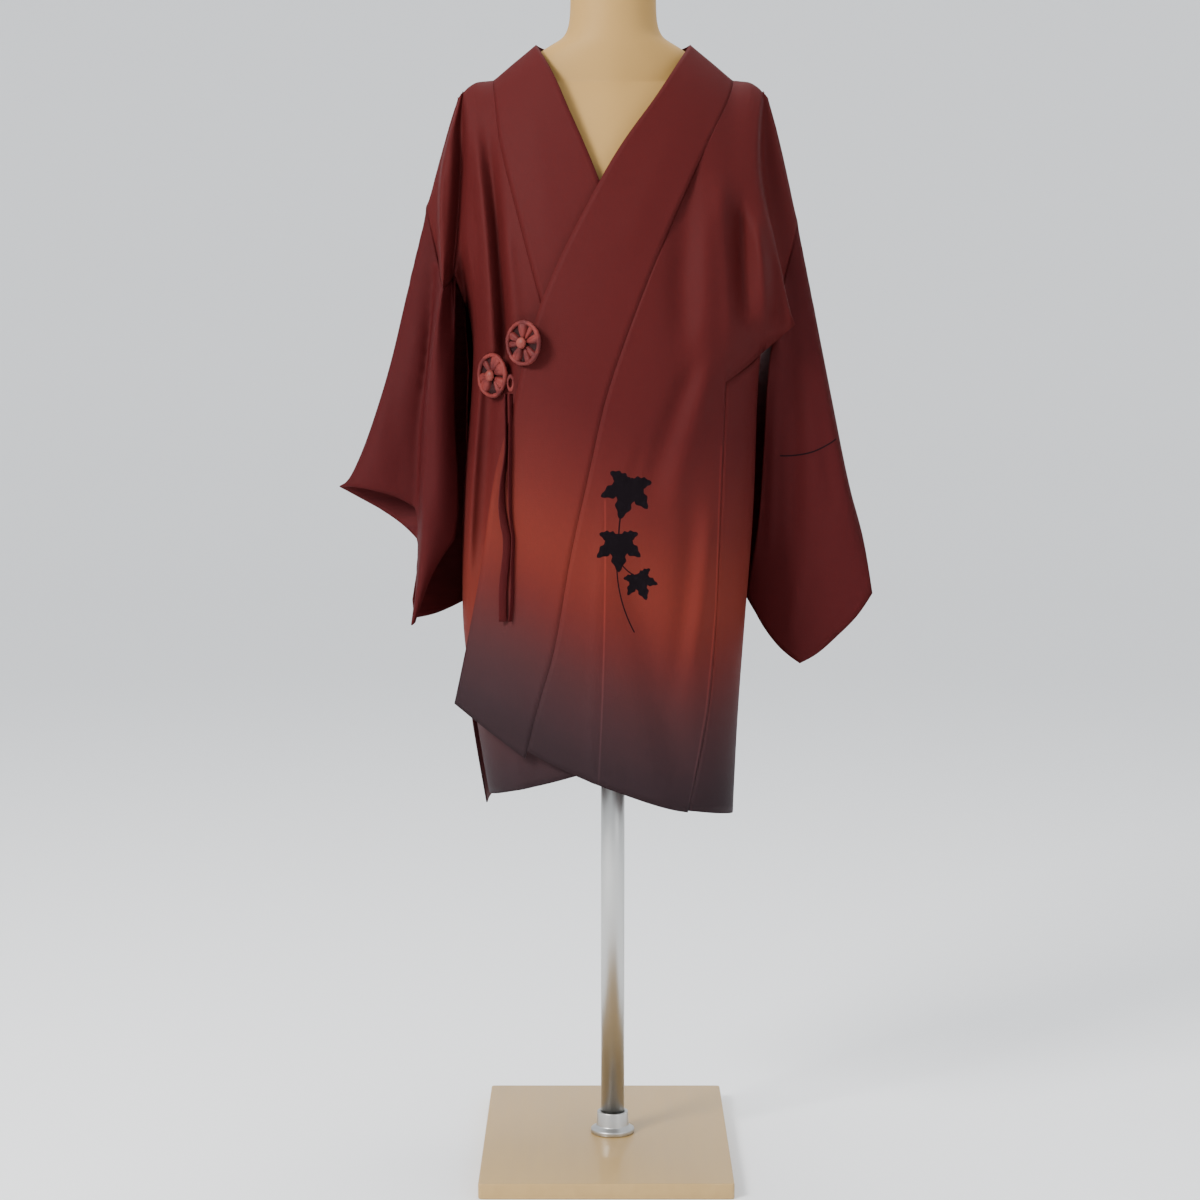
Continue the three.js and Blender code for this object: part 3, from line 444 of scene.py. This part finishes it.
def smoothSheet(piece, levels, reach=0.0, corner=None):
    # the outline keeps its corners, and goes reach further out to meet the next piece
    edges = bmesh.new()
    edges.from_mesh(piece.data)
    edgeLayers = edges.edges.layers.float
    held = edgeLayers.get("crease_edge") or edgeLayers.new("crease_edge")
    pinned = edges.verts.layers.float.new("crease_vert")
    for edge in edges.edges:
        if edge.is_boundary:
            edge[held] = 1.0
    for vert in edges.verts:
        rims = [edge.other_vert(vert).co - vert.co for edge in vert.link_edges if edge.is_boundary]
        if len(rims) == 2 and rims[0].angle(rims[1]) < math.radians(smoothing["cornerAngle"]):
            vert[pinned] = 1.0
    moves = {}
    for vert in edges.verts:
        rims = [edge for edge in vert.link_edges if edge.is_boundary]
        if len(rims) == 2 and reach:
            along = (rims[0].other_vert(vert).co - rims[1].other_vert(vert).co).normalized()
            middles = [face.calc_center_median() for face in vert.link_faces]
            outward = vert.co - sum(middles, Vector()) / len(middles)
            outward -= along * outward.dot(along) + vert.normal * outward.dot(vert.normal)
            more = 0.0
            if corner:
                away = (vert.co - Vector(corner["at"])).length / smoothing["cornerRadius"]
                more = corner["reach"] * math.exp(-away ** 2)
            moves[vert] = outward.normalized() * (reach + more)
    for vert, move in moves.items():
        vert.co += move
    edges.to_mesh(piece.data)
    edges.free()
    subdivide = piece.modifiers.new("smooth", "SUBSURF")
    subdivide.levels = levels
    subdivide.render_levels = levels
    subdivide.boundary_smooth = "PRESERVE_CORNERS"
    bakeModifiers(piece)
    shape = bmesh.new()
    shape.from_mesh(piece.data)
    inner = [vert for vert in shape.verts if not vert.is_boundary]
    for step in range(smoothing["rounds"]):
        bmesh.ops.smooth_vert(shape, verts=inner, factor=0.5, use_axis_x=True, use_axis_y=True,
                              use_axis_z=True)
    shape.to_mesh(piece.data)
    shape.free()


def ease(values):
    held = np.clip(values, 0.0, 1.0)
    return held * held * (3 - 2 * held)


def points(mesh):
    values = np.empty(len(mesh.vertices) * 3)
    mesh.vertices.foreach_get("co", values)
    return values.reshape(-1, 3)


def normals(mesh):
    values = np.empty(len(mesh.vertices) * 3)
    mesh.vertices.foreach_get("normal", values)
    return values.reshape(-1, 3)


def crease(places, facing, fold):
    # how far a fold lifts each point: along a bowed line, faded at both ends
    start, end = np.array(fold["from"]), np.array(fold["to"])
    length = np.linalg.norm(end - start)
    along = (end - start) / length
    flat = places[:, [0, 2]] - start
    share = flat @ along / length
    across = flat[:, 0] * along[1] - flat[:, 1] * along[0]
    across = across - fold.get("bow", 0.0) * 4 * share * (1 - share)
    width = fold["width"] * (1 + (fold.get("spread", 1.0) - 1) * np.clip(share, 0, 1))
    width = width * np.where(across * fold.get("lean", 0) > 0, 2.4, 1.0)
    body = np.exp(-(across / width) ** 2)
    if fold.get("sharp"):
        body = 1 / (1 + (across / width) ** 2) ** 1.5
    ends = ease((share + 0.02) / fold.get("fadeIn", 0.25)) * ease((1.02 - share) / fold.get("fadeOut", 0.25))
    side = ease((facing * (-1 if fold.get("side", "front") == "front" else 1) - 0.02) / 0.3)
    return fold["lift"] * body * ends * side * np.sign(facing)


def drape(piece, folds):
    # folds move the cloth straight forward or back, as they are seen from the front
    mesh = piece.data
    places, outward = points(mesh), normals(mesh)
    moved = places.copy()
    for fold in folds:
        moved[:, 1] += crease(places, outward[:, 1], fold)
    mesh.vertices.foreach_set("co", moved.ravel())
    mesh.update()


def thicken(piece, wall):
    solid = piece.modifiers.new("wall", "SOLIDIFY")
    solid.thickness = wall
    solid.offset = -1
    solid.material_offset = 1
    solid.material_offset_rim = 0
    solid.use_quality_normals = True


lining = liningMaterial()
print("materials begun")

# the back end of the armhole on the wearer's right, where both edges reach out to close the gap
armholeTip = {"at": (-0.179, 0.061, 1.030), "reach": 0.0050}

# flat and area are each piece's cut; folds run from and to places across and up the piece
coatPieces = {
    "coatBodyLeft": {
        "node": "body_left", "flat": (0.36, 1.66), "area": 0.396, "material": "front", "decorate": leafMask,
        "folds": [
            {"from": (0.118, 1.160), "to": (0.134, 0.957), "width": 0.010, "lift": 0.0056, "bow": -0.003},
            {"from": (0.144, 1.130), "to": (0.1505, 0.975), "width": 0.0070, "lift": -0.0135,
             "bow": 0.002, "lean": 1},
            {"from": (0.161, 1.110), "to": (0.172, 0.960), "width": 0.0075, "lift": 0.0110, "bow": -0.002},
            {"from": (0.181, 1.070), "to": (0.190, 0.978), "width": 0.0065, "lift": -0.0060, "fadeOut": 0.1},
            {"from": (0.086, 1.190), "to": (0.079, 0.950), "width": 0.016, "lift": -0.0070, "bow": 0.003},
            {"from": (0.103, 0.960), "to": (0.036, 0.780), "width": 0.010, "lift": -0.0050, "bow": 0.005,
             "spread": 1.5},
            {"from": (0.120, 0.960), "to": (0.062, 0.760), "width": 0.013, "lift": 0.0044, "bow": 0.004},
            {"from": (0.036, 0.860), "to": (0.016, 0.790), "width": 0.006, "lift": -0.0016},
            {"from": (0.110, 0.790), "to": (0.086, 0.580), "width": 0.011, "lift": 0.0056, "bow": -0.004},
            {"from": (0.092, 0.800), "to": (0.066, 0.540), "width": 0.013, "lift": -0.0044, "bow": -0.003},
            {"from": (0.008, 0.740), "to": (0.070, 0.470), "width": 0.014, "lift": -0.0042, "spread": 1.5,
             "fadeOut": 0.02},
            {"from": (-0.008, 0.812), "to": (-0.024, 0.446), "width": 0.0036, "lift": 0.0026, "bow": 0.003,
             "sharp": True, "fadeOut": 0.02},
            {"from": (0.080, 1.130), "to": (0.096, 0.560), "width": 0.020, "lift": -0.0050,
             "side": "back", "bow": 0.01},
            {"from": (0.040, 1.000), "to": (0.052, 0.430), "width": 0.018, "lift": 0.0034, "side": "back",
             "fadeOut": 0.02},
            {"from": (0.140, 1.090), "to": (0.118, 0.760), "width": 0.014, "lift": 0.0040, "side": "back",
             "bow": -0.006},
            {"from": (0.166, 1.120), "to": (0.160, 0.985), "width": 0.010, "lift": -0.0050, "side": "back"},
        ],
    },
    "coatBodyRight": {
        "node": "body_right", "flat": (0.36, 1.66), "area": 0.357, "material": "under", "decorate": None,
        "corner": armholeTip,
        "folds": [
            {"from": (-0.182, 1.210), "to": (-0.189, 1.030), "width": 0.0070, "lift": 0.0120},
            {"from": (-0.143, 1.205), "to": (-0.121, 0.925), "width": 0.0070, "lift": -0.0150, "bow": -0.002,
             "fadeIn": 0.5, "fadeOut": 0.08},
            {"from": (-0.124, 1.100), "to": (-0.106, 0.950), "width": 0.008, "lift": 0.0040, "fadeOut": 0.1},
            {"from": (-0.158, 1.215), "to": (-0.136, 0.925), "width": 0.0085, "lift": 0.0150, "bow": -0.002,
             "fadeOut": 0.12},
            {"from": (-0.130, 0.985), "to": (-0.153, 0.690), "width": 0.0070, "lift": -0.0120,
             "bow": 0.003, "lean": 1},
            {"from": (-0.146, 0.985), "to": (-0.170, 0.650), "width": 0.0065, "lift": 0.0105, "bow": 0.003},
            {"from": (-0.172, 0.700), "to": (-0.160, 0.440), "width": 0.010, "lift": -0.0026,
             "fadeOut": 0.02},
            {"from": (-0.110, 0.540), "to": (-0.104, 0.430), "width": 0.010, "lift": 0.0024, "fadeOut": 0.02},
            {"from": (-0.070, 1.120), "to": (-0.090, 0.520), "width": 0.020, "lift": -0.0044,
             "side": "back", "bow": 0.008},
            {"from": (-0.030, 0.980), "to": (-0.048, 0.420), "width": 0.016, "lift": 0.0030, "side": "back",
             "fadeOut": 0.02},
            {"from": (-0.138, 1.140), "to": (-0.122, 0.800), "width": 0.013, "lift": 0.0040,
             "side": "back", "bow": 0.005},
            {"from": (-0.162, 1.130), "to": (-0.158, 1.020), "width": 0.010, "lift": -0.0044, "side": "back"},
        ],
    },
    "coatSleeveLeft": {
        "node": "sleeve_left", "flat": (0.36, 0.50), "area": 0.105, "material": None,
        "decorate": sleeveStemMask,
        "folds": [
            {"from": (0.222, 1.050), "to": (0.262, 0.740), "width": 0.012, "lift": -0.0034, "bow": 0.004},
            {"from": (0.206, 0.980), "to": (0.212, 0.700), "width": 0.010, "lift": -0.0036, "bow": -0.003},
            {"from": (0.232, 0.930), "to": (0.236, 0.760), "width": 0.012, "lift": 0.0028},
            {"from": (0.190, 0.940), "to": (0.184, 0.700), "width": 0.007, "lift": 0.0026},
            {"from": (0.226, 0.716), "to": (0.206, 0.606), "width": 0.006, "lift": 0.0016},
            {"from": (0.222, 1.000), "to": (0.236, 0.700), "width": 0.014, "lift": -0.0040, "side": "back"},
            {"from": (0.252, 0.940), "to": (0.270, 0.720), "width": 0.010, "lift": 0.0028, "side": "back"},
        ],
    },
    "coatSleeveRight": {
        "node": "sleeve_right", "flat": (0.36, 0.50), "area": 0.097, "material": None, "decorate": None,
        "corner": armholeTip,
        "folds": [
            {"from": (-0.206, 1.020), "to": (-0.214, 0.760), "width": 0.008, "lift": -0.0044, "bow": 0.003},
            {"from": (-0.232, 1.030), "to": (-0.262, 0.820), "width": 0.011, "lift": -0.0030, "bow": 0.004},
            {"from": (-0.218, 0.980), "to": (-0.240, 0.760), "width": 0.009, "lift": 0.0026, "bow": 0.003},
            {"from": (-0.222, 1.020), "to": (-0.248, 0.800), "width": 0.012, "lift": -0.0034, "side": "back"},
        ],
    },
    "coatCollarLeft": {
        "node": "collar_left", "flat": (0.12, 1.14), "area": 0.091, "material": "front", "decorate": None,
        "folds": [
            {"from": (0.070, 1.200), "to": (0.010, 1.060), "width": 0.016, "lift": 0.0012},
            {"from": (-0.118, 0.880), "to": (-0.150, 0.560), "width": 0.012, "lift": -0.0018,
             "fadeOut": 0.05},
        ],
    },
    "coatCollarRight": {
        "node": "collar_right", "flat": (0.12, 1.14), "area": 0.095, "material": "under", "decorate": None,
        "folds": [
            {"from": (-0.096, 1.230), "to": (-0.070, 1.070), "width": 0.014, "lift": 0.0012},
        ],
    },
}

for pieceName, piece in coatPieces.items():
    centre = None
    if "sleeve" in piece["node"]:
        low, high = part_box(piece["node"])
        centre = (low + high) / 2
    made = meshObject(pieceName, outerSheet(piece["node"], centre),
                      silkMaterial(pieceName + "Silk", piece["material"], piece["decorate"]), lining)
    smoothSheet(made, 2, seamReach, piece.get("corner"))
    drape(made, piece["folds"])
    thicken(made, clothWall)
    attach(made, "root")
    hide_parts(piece["node"])
    print("cloth", pieceName, len(made.data.polygons))


# the ties: narrow folded strips that hang edge on at the top and turn flat lower down
ties = {
    "tieFront": {"node": "tie_front", "flat": (0.010, 0.262), "turnTop": 74, "turnFoot": 14, "turnAt": 0.45,
                 "forward": 0.0008, "wave": 0.0010, "phase": 0.0},
    "tieBehind": {"node": "tie_behind", "flat": (0.010, 0.262), "turnTop": 66, "turnFoot": 58, "turnAt": 0.7,
                  "forward": 0.0002, "wave": 0.0012, "phase": 1.9},
}
tieSilk = silkMaterial("tieSilk")


def tieStrip(tie):
    # rows of five points across the node's middle line, turned about it
    node = packedShape(tie["node"])
    low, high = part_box(tie["node"])
    places = np.array([vert.co[:] for vert in node.verts])
    node.free()
    steps, half = 40, tie["flat"][0] / 2 - 0.0002
    strip = bmesh.new()
    rows = []
    for step in range(steps + 1):
        share = step / steps
        height = high.z - 0.0008 - (high.z - low.z - 0.0016) * share
        weight = np.exp(-((places[:, 2] - height) / 0.009) ** 2)
        middle = (places * weight[:, None]).sum(axis=0) / weight.sum()
        eased = float(ease(np.array((share - tie["turnAt"] + 0.25) / 0.5)))
        turn = math.radians(tie["turnTop"] + (tie["turnFoot"] - tie["turnTop"]) * eased)
        sway = tie["wave"] * math.sin(11 * share + tie["phase"]) * math.sin(math.pi * share)
        row = []
        for place in (-1, -0.5, 0, 0.5, 1):
            bulge = 0.0006 * (1 - place * place)
            reach = half * place
            row.append(strip.verts.new((middle[0] + reach * math.cos(turn) + sway,
                                        middle[1] - tie["forward"] + reach * math.sin(turn) - bulge, height)))
        rows.append(row)
    for upper, lower in zip(rows, rows[1:]):
        for index in range(4):
            strip.faces.new((upper[index], lower[index], lower[index + 1], upper[index + 1]))
    return strip


for pieceName, piece in ties.items():
    made = meshObject(pieceName, tieStrip(piece), tieSilk)
    smoothSheet(made, 1)
    solid = made.modifiers.new("wall", "SOLIDIFY")
    solid.thickness = 0.0011
    solid.offset = 0
    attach(made, "root")
    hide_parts(piece["node"])
print("ties hung")


# rosettes: bias strips gathered into petals inside a rolled rim, round a covered button
def gatheredMaterial(name, light, dark, roughness):
    shader = Shader(name)
    tone = shader.noise(55.0, 2.0)
    grain = crepe(shader)
    shader.bump(grain, silk["crepeDepth"], 0.7)
    return shader.finish(shader.mix(tone.ramp(0.35, 0.65), dark, light), roughness + (tone - 0.5) * 0.1,
                         Specular_IOR_Level=0.2)


rosetteSilk = gatheredMaterial("rosetteSilk", linear(106, 39, 35), linear(76, 23, 23), 0.6)
# painted shade: near black silk for the dish under the petals, standing for the shade between the gathered
# loops
rosettePaintedShade = gatheredMaterial("rosettePaintedShade", linear(44, 8, 8), linear(30, 5, 6), 0.8)
buttonSilk = gatheredMaterial("buttonSilk", linear(124, 58, 50), linear(108, 46, 40), 0.48)

rosettes = {
    "upper": {"turn": -40, "petals": 8, "phase": 0.2, "uneven": 0.34},
    "lower": {"turn": -48, "petals": 7, "phase": 1.4, "uneven": 0.42},
}
rosetteSize = {"radius": 0.0258, "rim": 0.0024, "hub": 0.0050, "reach": 0.0222, "rise": 0.0042,
               "dish": 0.0012, "button": 0.0066, "buttonRise": 0.0056}


def discPlace(nodeName, turnDegrees):
    # middle of the node's back face, and its three directions
    turn = math.radians(turnDegrees)
    side = Vector((math.cos(turn), math.sin(turn), 0))
    out = Vector((math.sin(turn), -math.cos(turn), 0))
    up = Vector((0, 0, 1))
    shape = packedShape(nodeName)
    spans = [[vert.co.dot(axis) for vert in shape.verts] for axis in (side, up, out)]
    shape.free()
    middle = side * ((min(spans[0]) + max(spans[0])) / 2) + up * ((min(spans[1]) + max(spans[1])) / 2)
    return middle + out * min(spans[2]), side, up, out


def gridFaces(shape, rows, closed=False):
    for first, second in zip(rows, rows[1:]):
        count = len(first)
        for index in range(count if closed else count - 1):
            after = (index + 1) % count
            shape.faces.new((first[index], first[after], second[after], second[index]))


def rosetteMesh(rosette, place):
    origin, side, up, out = place
    size = rosetteSize
    shape = bmesh.new()

    def at(angle, radius, height):
        spot = origin + side * (radius * math.cos(angle)) + up * (radius * math.sin(angle)) + out * height
        return shape.verts.new(spot)

    around, ringSteps = 96, 12
    dish = [(0.0002, 0.0003), (0.0002, size["dish"]), (0.012, size["dish"] * 1.1), (0.0225, size["dish"]),
            (0.0245, 0.0006), (0.0225, 0.0002), (0.0002, 0.0003)]
    rows = [[at(2 * math.pi * step / around, radius, height) for step in range(around)]
            for radius, height in dish]
    gridFaces(shape, rows, closed=True)
    # the dish takes the second material, the painted shade under the petals
    for face in shape.faces:
        face.material_index = 1
    rim = []
    for ringStep in range(ringSteps + 1):
        section = 2 * math.pi * ringStep / ringSteps
        ring = []
        for step in range(around):
            angle = 2 * math.pi * step / around
            swell = 1 + 0.10 * math.sin(5 * angle + rosette["phase"]) + 0.05 * math.sin(13 * angle)
            tube = size["rim"] * swell
            wrap = 0.00022 * math.sin(26 * angle + 2 * section)
            ring.append(at(angle, size["radius"] - size["rim"] * 1.1 + (tube + wrap) * math.cos(section),
                           size["rim"] * 1.25 + (tube * 1.15 + wrap) * math.sin(section)))
        rim.append(ring)
    gridFaces(shape, rim, closed=True)
    for index in range(rosette["petals"]):
        petalShape(at, shape, rosette, index)
    bmesh.ops.remove_doubles(shape, verts=shape.verts, dist=weldGap)
    bmesh.ops.recalc_face_normals(shape, faces=shape.faces)
    return shape


def petalShape(at, shape, rosette, index):
    # one gathered loop: pinched at the hub, arched and split by a pleat further out
    size, uneven = rosetteSize, rosette["uneven"]
    wobble = math.sin(index * 2.4 + rosette["phase"] * 3)
    middle = 2 * math.pi * (index + 0.60 * uneven * wobble) / rosette["petals"] + rosette["phase"]
    fullness = 1 + uneven * math.sin(index * 4.1 + rosette["phase"])
    across, along = 12, 12
    over, under = [], []
    for step in range(along + 1):
        share = step / along
        radius = size["hub"] + (size["reach"] - size["hub"]) * share
        half = (0.0014 + (math.pi * size["reach"] / rosette["petals"] * 0.62 * fullness - 0.0014)
                * math.sin(math.pi / 2 * share) ** 0.8)
        swell = 0.45 + 0.55 * math.sin(math.pi * (0.12 + 0.74 * share))
        crest = size["dish"] + size["rise"] * fullness * swell
        upper, lower = [], []
        for column in range(across + 1):
            place = 2 * column / across - 1
            arch = (1 - abs(place) ** 2.6) ** 0.6
            pleat = 0.30 * math.exp(-((place - 0.25 * wobble) / 0.16) ** 2) * math.sin(math.pi * share)
            curl = 0.10 * uneven * math.sin(3 * place + index)
            height = size["dish"] * 0.6 + (crest - size["dish"] * 0.6) * max(arch * (1 - pleat + curl), 0.0)
            angle = middle + place * half / radius
            tip = radius + 0.0010 * (1 - place * place) * share
            upper.append(at(angle, tip, height))
            lower.append(at(angle, tip, size["dish"] * 0.5))
        over.append(upper)
        under.append(lower)
    gridFaces(shape, over)
    gridFaces(shape, [row[::-1] for row in under])
    for first, second in ((over[0], under[0]), (under[-1], over[-1])):
        gridFaces(shape, [first, second])
    for column in (0, across):
        gridFaces(shape, [[row[column] for row in over], [row[column] for row in under]])


def buttonMesh(place):
    # a dome of gathered satin with small tucks round its edge
    origin, side, up, out = place
    radius, rise = rosetteSize["button"], rosetteSize["buttonRise"]
    shape = bmesh.new()
    around, rings = 64, 12
    rows = []
    for ring in range(rings + 1):
        tilt = math.pi / 2 * ring / rings
        row = []
        for step in range(around):
            angle = 2 * math.pi * step / around
            tuck = 1 + 0.022 * math.sin(18 * angle) * math.cos(tilt) ** 3
            reach = max(radius * math.cos(tilt) * tuck, 0.00002)
            height = 0.0004 + (rise - 0.0004) * math.sin(tilt) ** 0.9
            spot = side * (reach * math.cos(angle)) + up * (reach * math.sin(angle)) + out * height
            row.append(shape.verts.new(origin + spot))
        rows.append(row)
    gridFaces(shape, rows, closed=True)
    shape.faces.new(rows[0][::-1])
    bmesh.ops.remove_doubles(shape, verts=shape.verts, dist=0.00005)
    bmesh.ops.recalc_face_normals(shape, faces=shape.faces)
    return shape


for name, rosette in rosettes.items():
    node = "rosette_" + name
    made = meshObject("rosette" + name.capitalize(), rosetteMesh(rosette, discPlace(node, rosette["turn"])),
                      rosetteSilk, rosettePaintedShade)
    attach(made, "root")
    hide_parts(node)
    node = "button_" + name
    made = meshObject("button" + name.capitalize(), buttonMesh(discPlace(node, rosette["turn"])), buttonSilk)
    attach(made, "root")
    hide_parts(node)

loopShape = packedShape("button_loop")
pairTriangles(loopShape)
loop = meshObject("buttonLoop", loopShape, rosetteSilk)
smoothSheet(loop, 2)
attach(loop, "root")
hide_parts("button_loop")
print("rosettes gathered")


# dress form, pole, socket and board
def formMaterial():
    shader = Shader("formCanvas")
    weave = shader.noise(900.0, 2.0, (1, 1, 1), 0.6)
    tone = shader.noise(6.0, 2.0)
    colour = shader.mix(tone, linear(160, 124, 66), linear(168, 132, 74))
    shader.bump(weave, 0.0001, 0.5)
    return shader.finish(colour, 0.62, Specular_IOR_Level=0.3)


def steelMaterial():
    shader = Shader("standSteel")
    brushed = shader.noise(40.0, 3.0, (30, 30, 0.6))
    shader.bump(brushed, 0.00005, 0.4)
    return shader.finish(linear(186, 186, 184), 0.28 + brushed * 0.16, Metallic=1.0)


def boardMaterial():
    shader = Shader("boardWood")
    ring = shader.noise(14.0, 3.0, (6.0, 0.5, 6.0))
    pores = shader.noise(160.0, 2.0, (6.0, 0.25, 6.0))
    colour = shader.mix(ring, linear(164, 132, 80), linear(178, 146, 92))
    colour = shader.mix((pores - 0.55) * 0.5, colour, linear(160, 130, 90))
    shader.bump(pores, 0.0001, 0.3)
    return shader.finish(colour, 0.38 + ring * 0.1, Coat_Weight=0.15)


dressForm = packedShape("form_torso")
pairTriangles(dressForm)
creaseLayer = dressForm.edges.layers.float.new("crease_edge")
for edge in dressForm.edges:
    heights = [vert.co.z for vert in edge.verts]
    if max(heights) - min(heights) < 0.0001 and (heights[0] > 1.38 or heights[0] < 0.70):
        edge[creaseLayer] = 0.7
formPiece = meshObject("dressFormTorso", dressForm, formMaterial())
smoothSheet(formPiece, 2)
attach(formPiece, "root")
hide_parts("form_torso")

standSizes = {"poleRadius": 0.014, "poleFoot": 0.0183, "poleTop": 0.6897}
steel = steelMaterial()
poleMesh = bmesh.new()
bmesh.ops.create_cone(poleMesh, cap_ends=True, segments=64, radius1=standSizes["poleRadius"],
                      radius2=standSizes["poleRadius"], depth=standSizes["poleTop"] - standSizes["poleFoot"])
bmesh.ops.translate(poleMesh, verts=poleMesh.verts,
                    vec=(0, 0, (standSizes["poleTop"] + standSizes["poleFoot"]) / 2))
pole = meshObject("standPole", poleMesh, steel)
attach(pole, "root")
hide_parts("stand_pole")

# radius and height of each corner of the socket, from its inner foot round to its inner top
socketProfile = [(0.0143, 0.0183), (0.026, 0.0183), (0.026, 0.0233), (0.0193, 0.0273), (0.0183, 0.0443),
                 (0.0143, 0.0443)]
socketMesh = bmesh.new()
ring = [socketMesh.verts.new((radius, 0, height)) for radius, height in socketProfile]
edges = [socketMesh.edges.new((ring[index], ring[(index + 1) % len(ring)])) for index in range(len(ring))]
bmesh.ops.spin(socketMesh, geom=ring + edges, cent=(0, 0, 0), axis=(0, 0, 1), angle=2 * math.pi,
               steps=64, use_merge=True)
bmesh.ops.remove_doubles(socketMesh, verts=socketMesh.verts, dist=weldGap)
bmesh.ops.recalc_face_normals(socketMesh, faces=socketMesh.faces)
socketPiece = meshObject("poleSocket", socketMesh, steel)
bevel = socketPiece.modifiers.new("edge", "BEVEL")
bevel.width = 0.0008
bevel.segments = 3
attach(socketPiece, "root")
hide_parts("pole_socket")

low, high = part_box("base_board")
boardMesh = bmesh.new()
bmesh.ops.create_cube(boardMesh, size=1.0)
bmesh.ops.scale(boardMesh, verts=boardMesh.verts, vec=high - low)
bmesh.ops.translate(boardMesh, verts=boardMesh.verts, vec=(low + high) / 2)
upright = [edge for edge in boardMesh.edges if abs(edge.verts[0].co.z - edge.verts[1].co.z) > 0.01]
bmesh.ops.bevel(boardMesh, geom=upright, offset=0.004, offset_type="OFFSET", segments=5, profile=0.5,
                affect="EDGES", material=-1)
boardPiece = meshObject("baseBoard", boardMesh, boardMaterial())
bevel = boardPiece.modifiers.new("edge", "BEVEL")
bevel.width = 0.0015
bevel.segments = 3
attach(boardPiece, "root")
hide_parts("base_board")
print("stand built")


# stage, light and camera
def floorMaterial():
    shader = Shader("paleFloor")
    return shader.finish(linear(244, 245, 246), 0.8)


floorSweep = [(0.0, 0.0), (4.5, 0.0), (5.6, 0.10), (6.4, 0.45), (7.0, 1.1), (7.4, 2.2), (7.5, 4.0),
              (7.5, 7.0)]
floorMesh = bmesh.new()
profile = [floorMesh.verts.new((radius, 0, height)) for radius, height in floorSweep]
edges = [floorMesh.edges.new(pair) for pair in zip(profile, profile[1:])]
bmesh.ops.spin(floorMesh, geom=profile + edges, cent=(0, 0, 0), axis=(0, 0, 1), angle=2 * math.pi,
               steps=96, use_merge=True)
bmesh.ops.remove_doubles(floorMesh, verts=floorMesh.verts, dist=0.0001)
bmesh.ops.recalc_face_normals(floorMesh, faces=floorMesh.faces)
if sum(face.normal.z for face in floorMesh.faces if face.calc_center_median().z < 0.01) < 0:
    bmesh.ops.reverse_faces(floorMesh, faces=floorMesh.faces)
floor = meshObject("studioFloor", floorMesh, floorMaterial())

world = bpy.data.worlds.new("studioAir")
world.use_nodes = True
world.node_tree.nodes["Background"].inputs[0].default_value = (0.93, 0.96, 1.0, 1)
world.node_tree.nodes["Background"].inputs[1].default_value = 1.05
bpy.context.scene.world = world

studioLights = {
    "keyLight": {"at": (-2.3, -2.3, 2.6), "size": 1.1, "power": 200, "colour": (1.0, 0.98, 0.96)},
    "fillLight": {"at": (2.3, -2.6, 1.5), "size": 1.8, "power": 22, "colour": (0.97, 0.98, 1.0)},
    "topLight": {"at": (0.2, 0.6, 3.4), "size": 1.6, "power": 60, "colour": (1.0, 1.0, 1.0)},
}
for lightName, light in studioLights.items():
    lamp = bpy.data.lights.new(lightName, "AREA")
    lamp.size = light["size"]
    lamp.energy = light["power"]
    lamp.color = light["colour"]
    holder = bpy.data.objects.new(lightName, lamp)
    holder.location = light["at"]
    aim = Vector((0, 0, 0.85))
    holder.rotation_euler = (aim - Vector(light["at"])).to_track_quat("-Z", "Y").to_euler()
    bpy.context.scene.collection.objects.link(holder)

# the horizon lies horizonRise pixels above the middle of a frame framePixels wide
view = {"lens": 82, "sensor": 36, "at": (-0.01514, -3.2, 0.99), "framePixels": 1200, "horizonRise": 282}
lens = bpy.data.cameras.new("studioCamera")
lens.lens = view["lens"]
lens.sensor_width = view["sensor"]
camera = bpy.data.objects.new("studioCamera", lens)
camera.location = view["at"]
dip = math.atan(view["horizonRise"] / (view["lens"] / view["sensor"] * view["framePixels"]))
camera.rotation_euler = (math.pi / 2 - dip, 0, 0)
bpy.context.scene.collection.objects.link(camera)
bpy.context.scene.camera = camera
print("stage set")
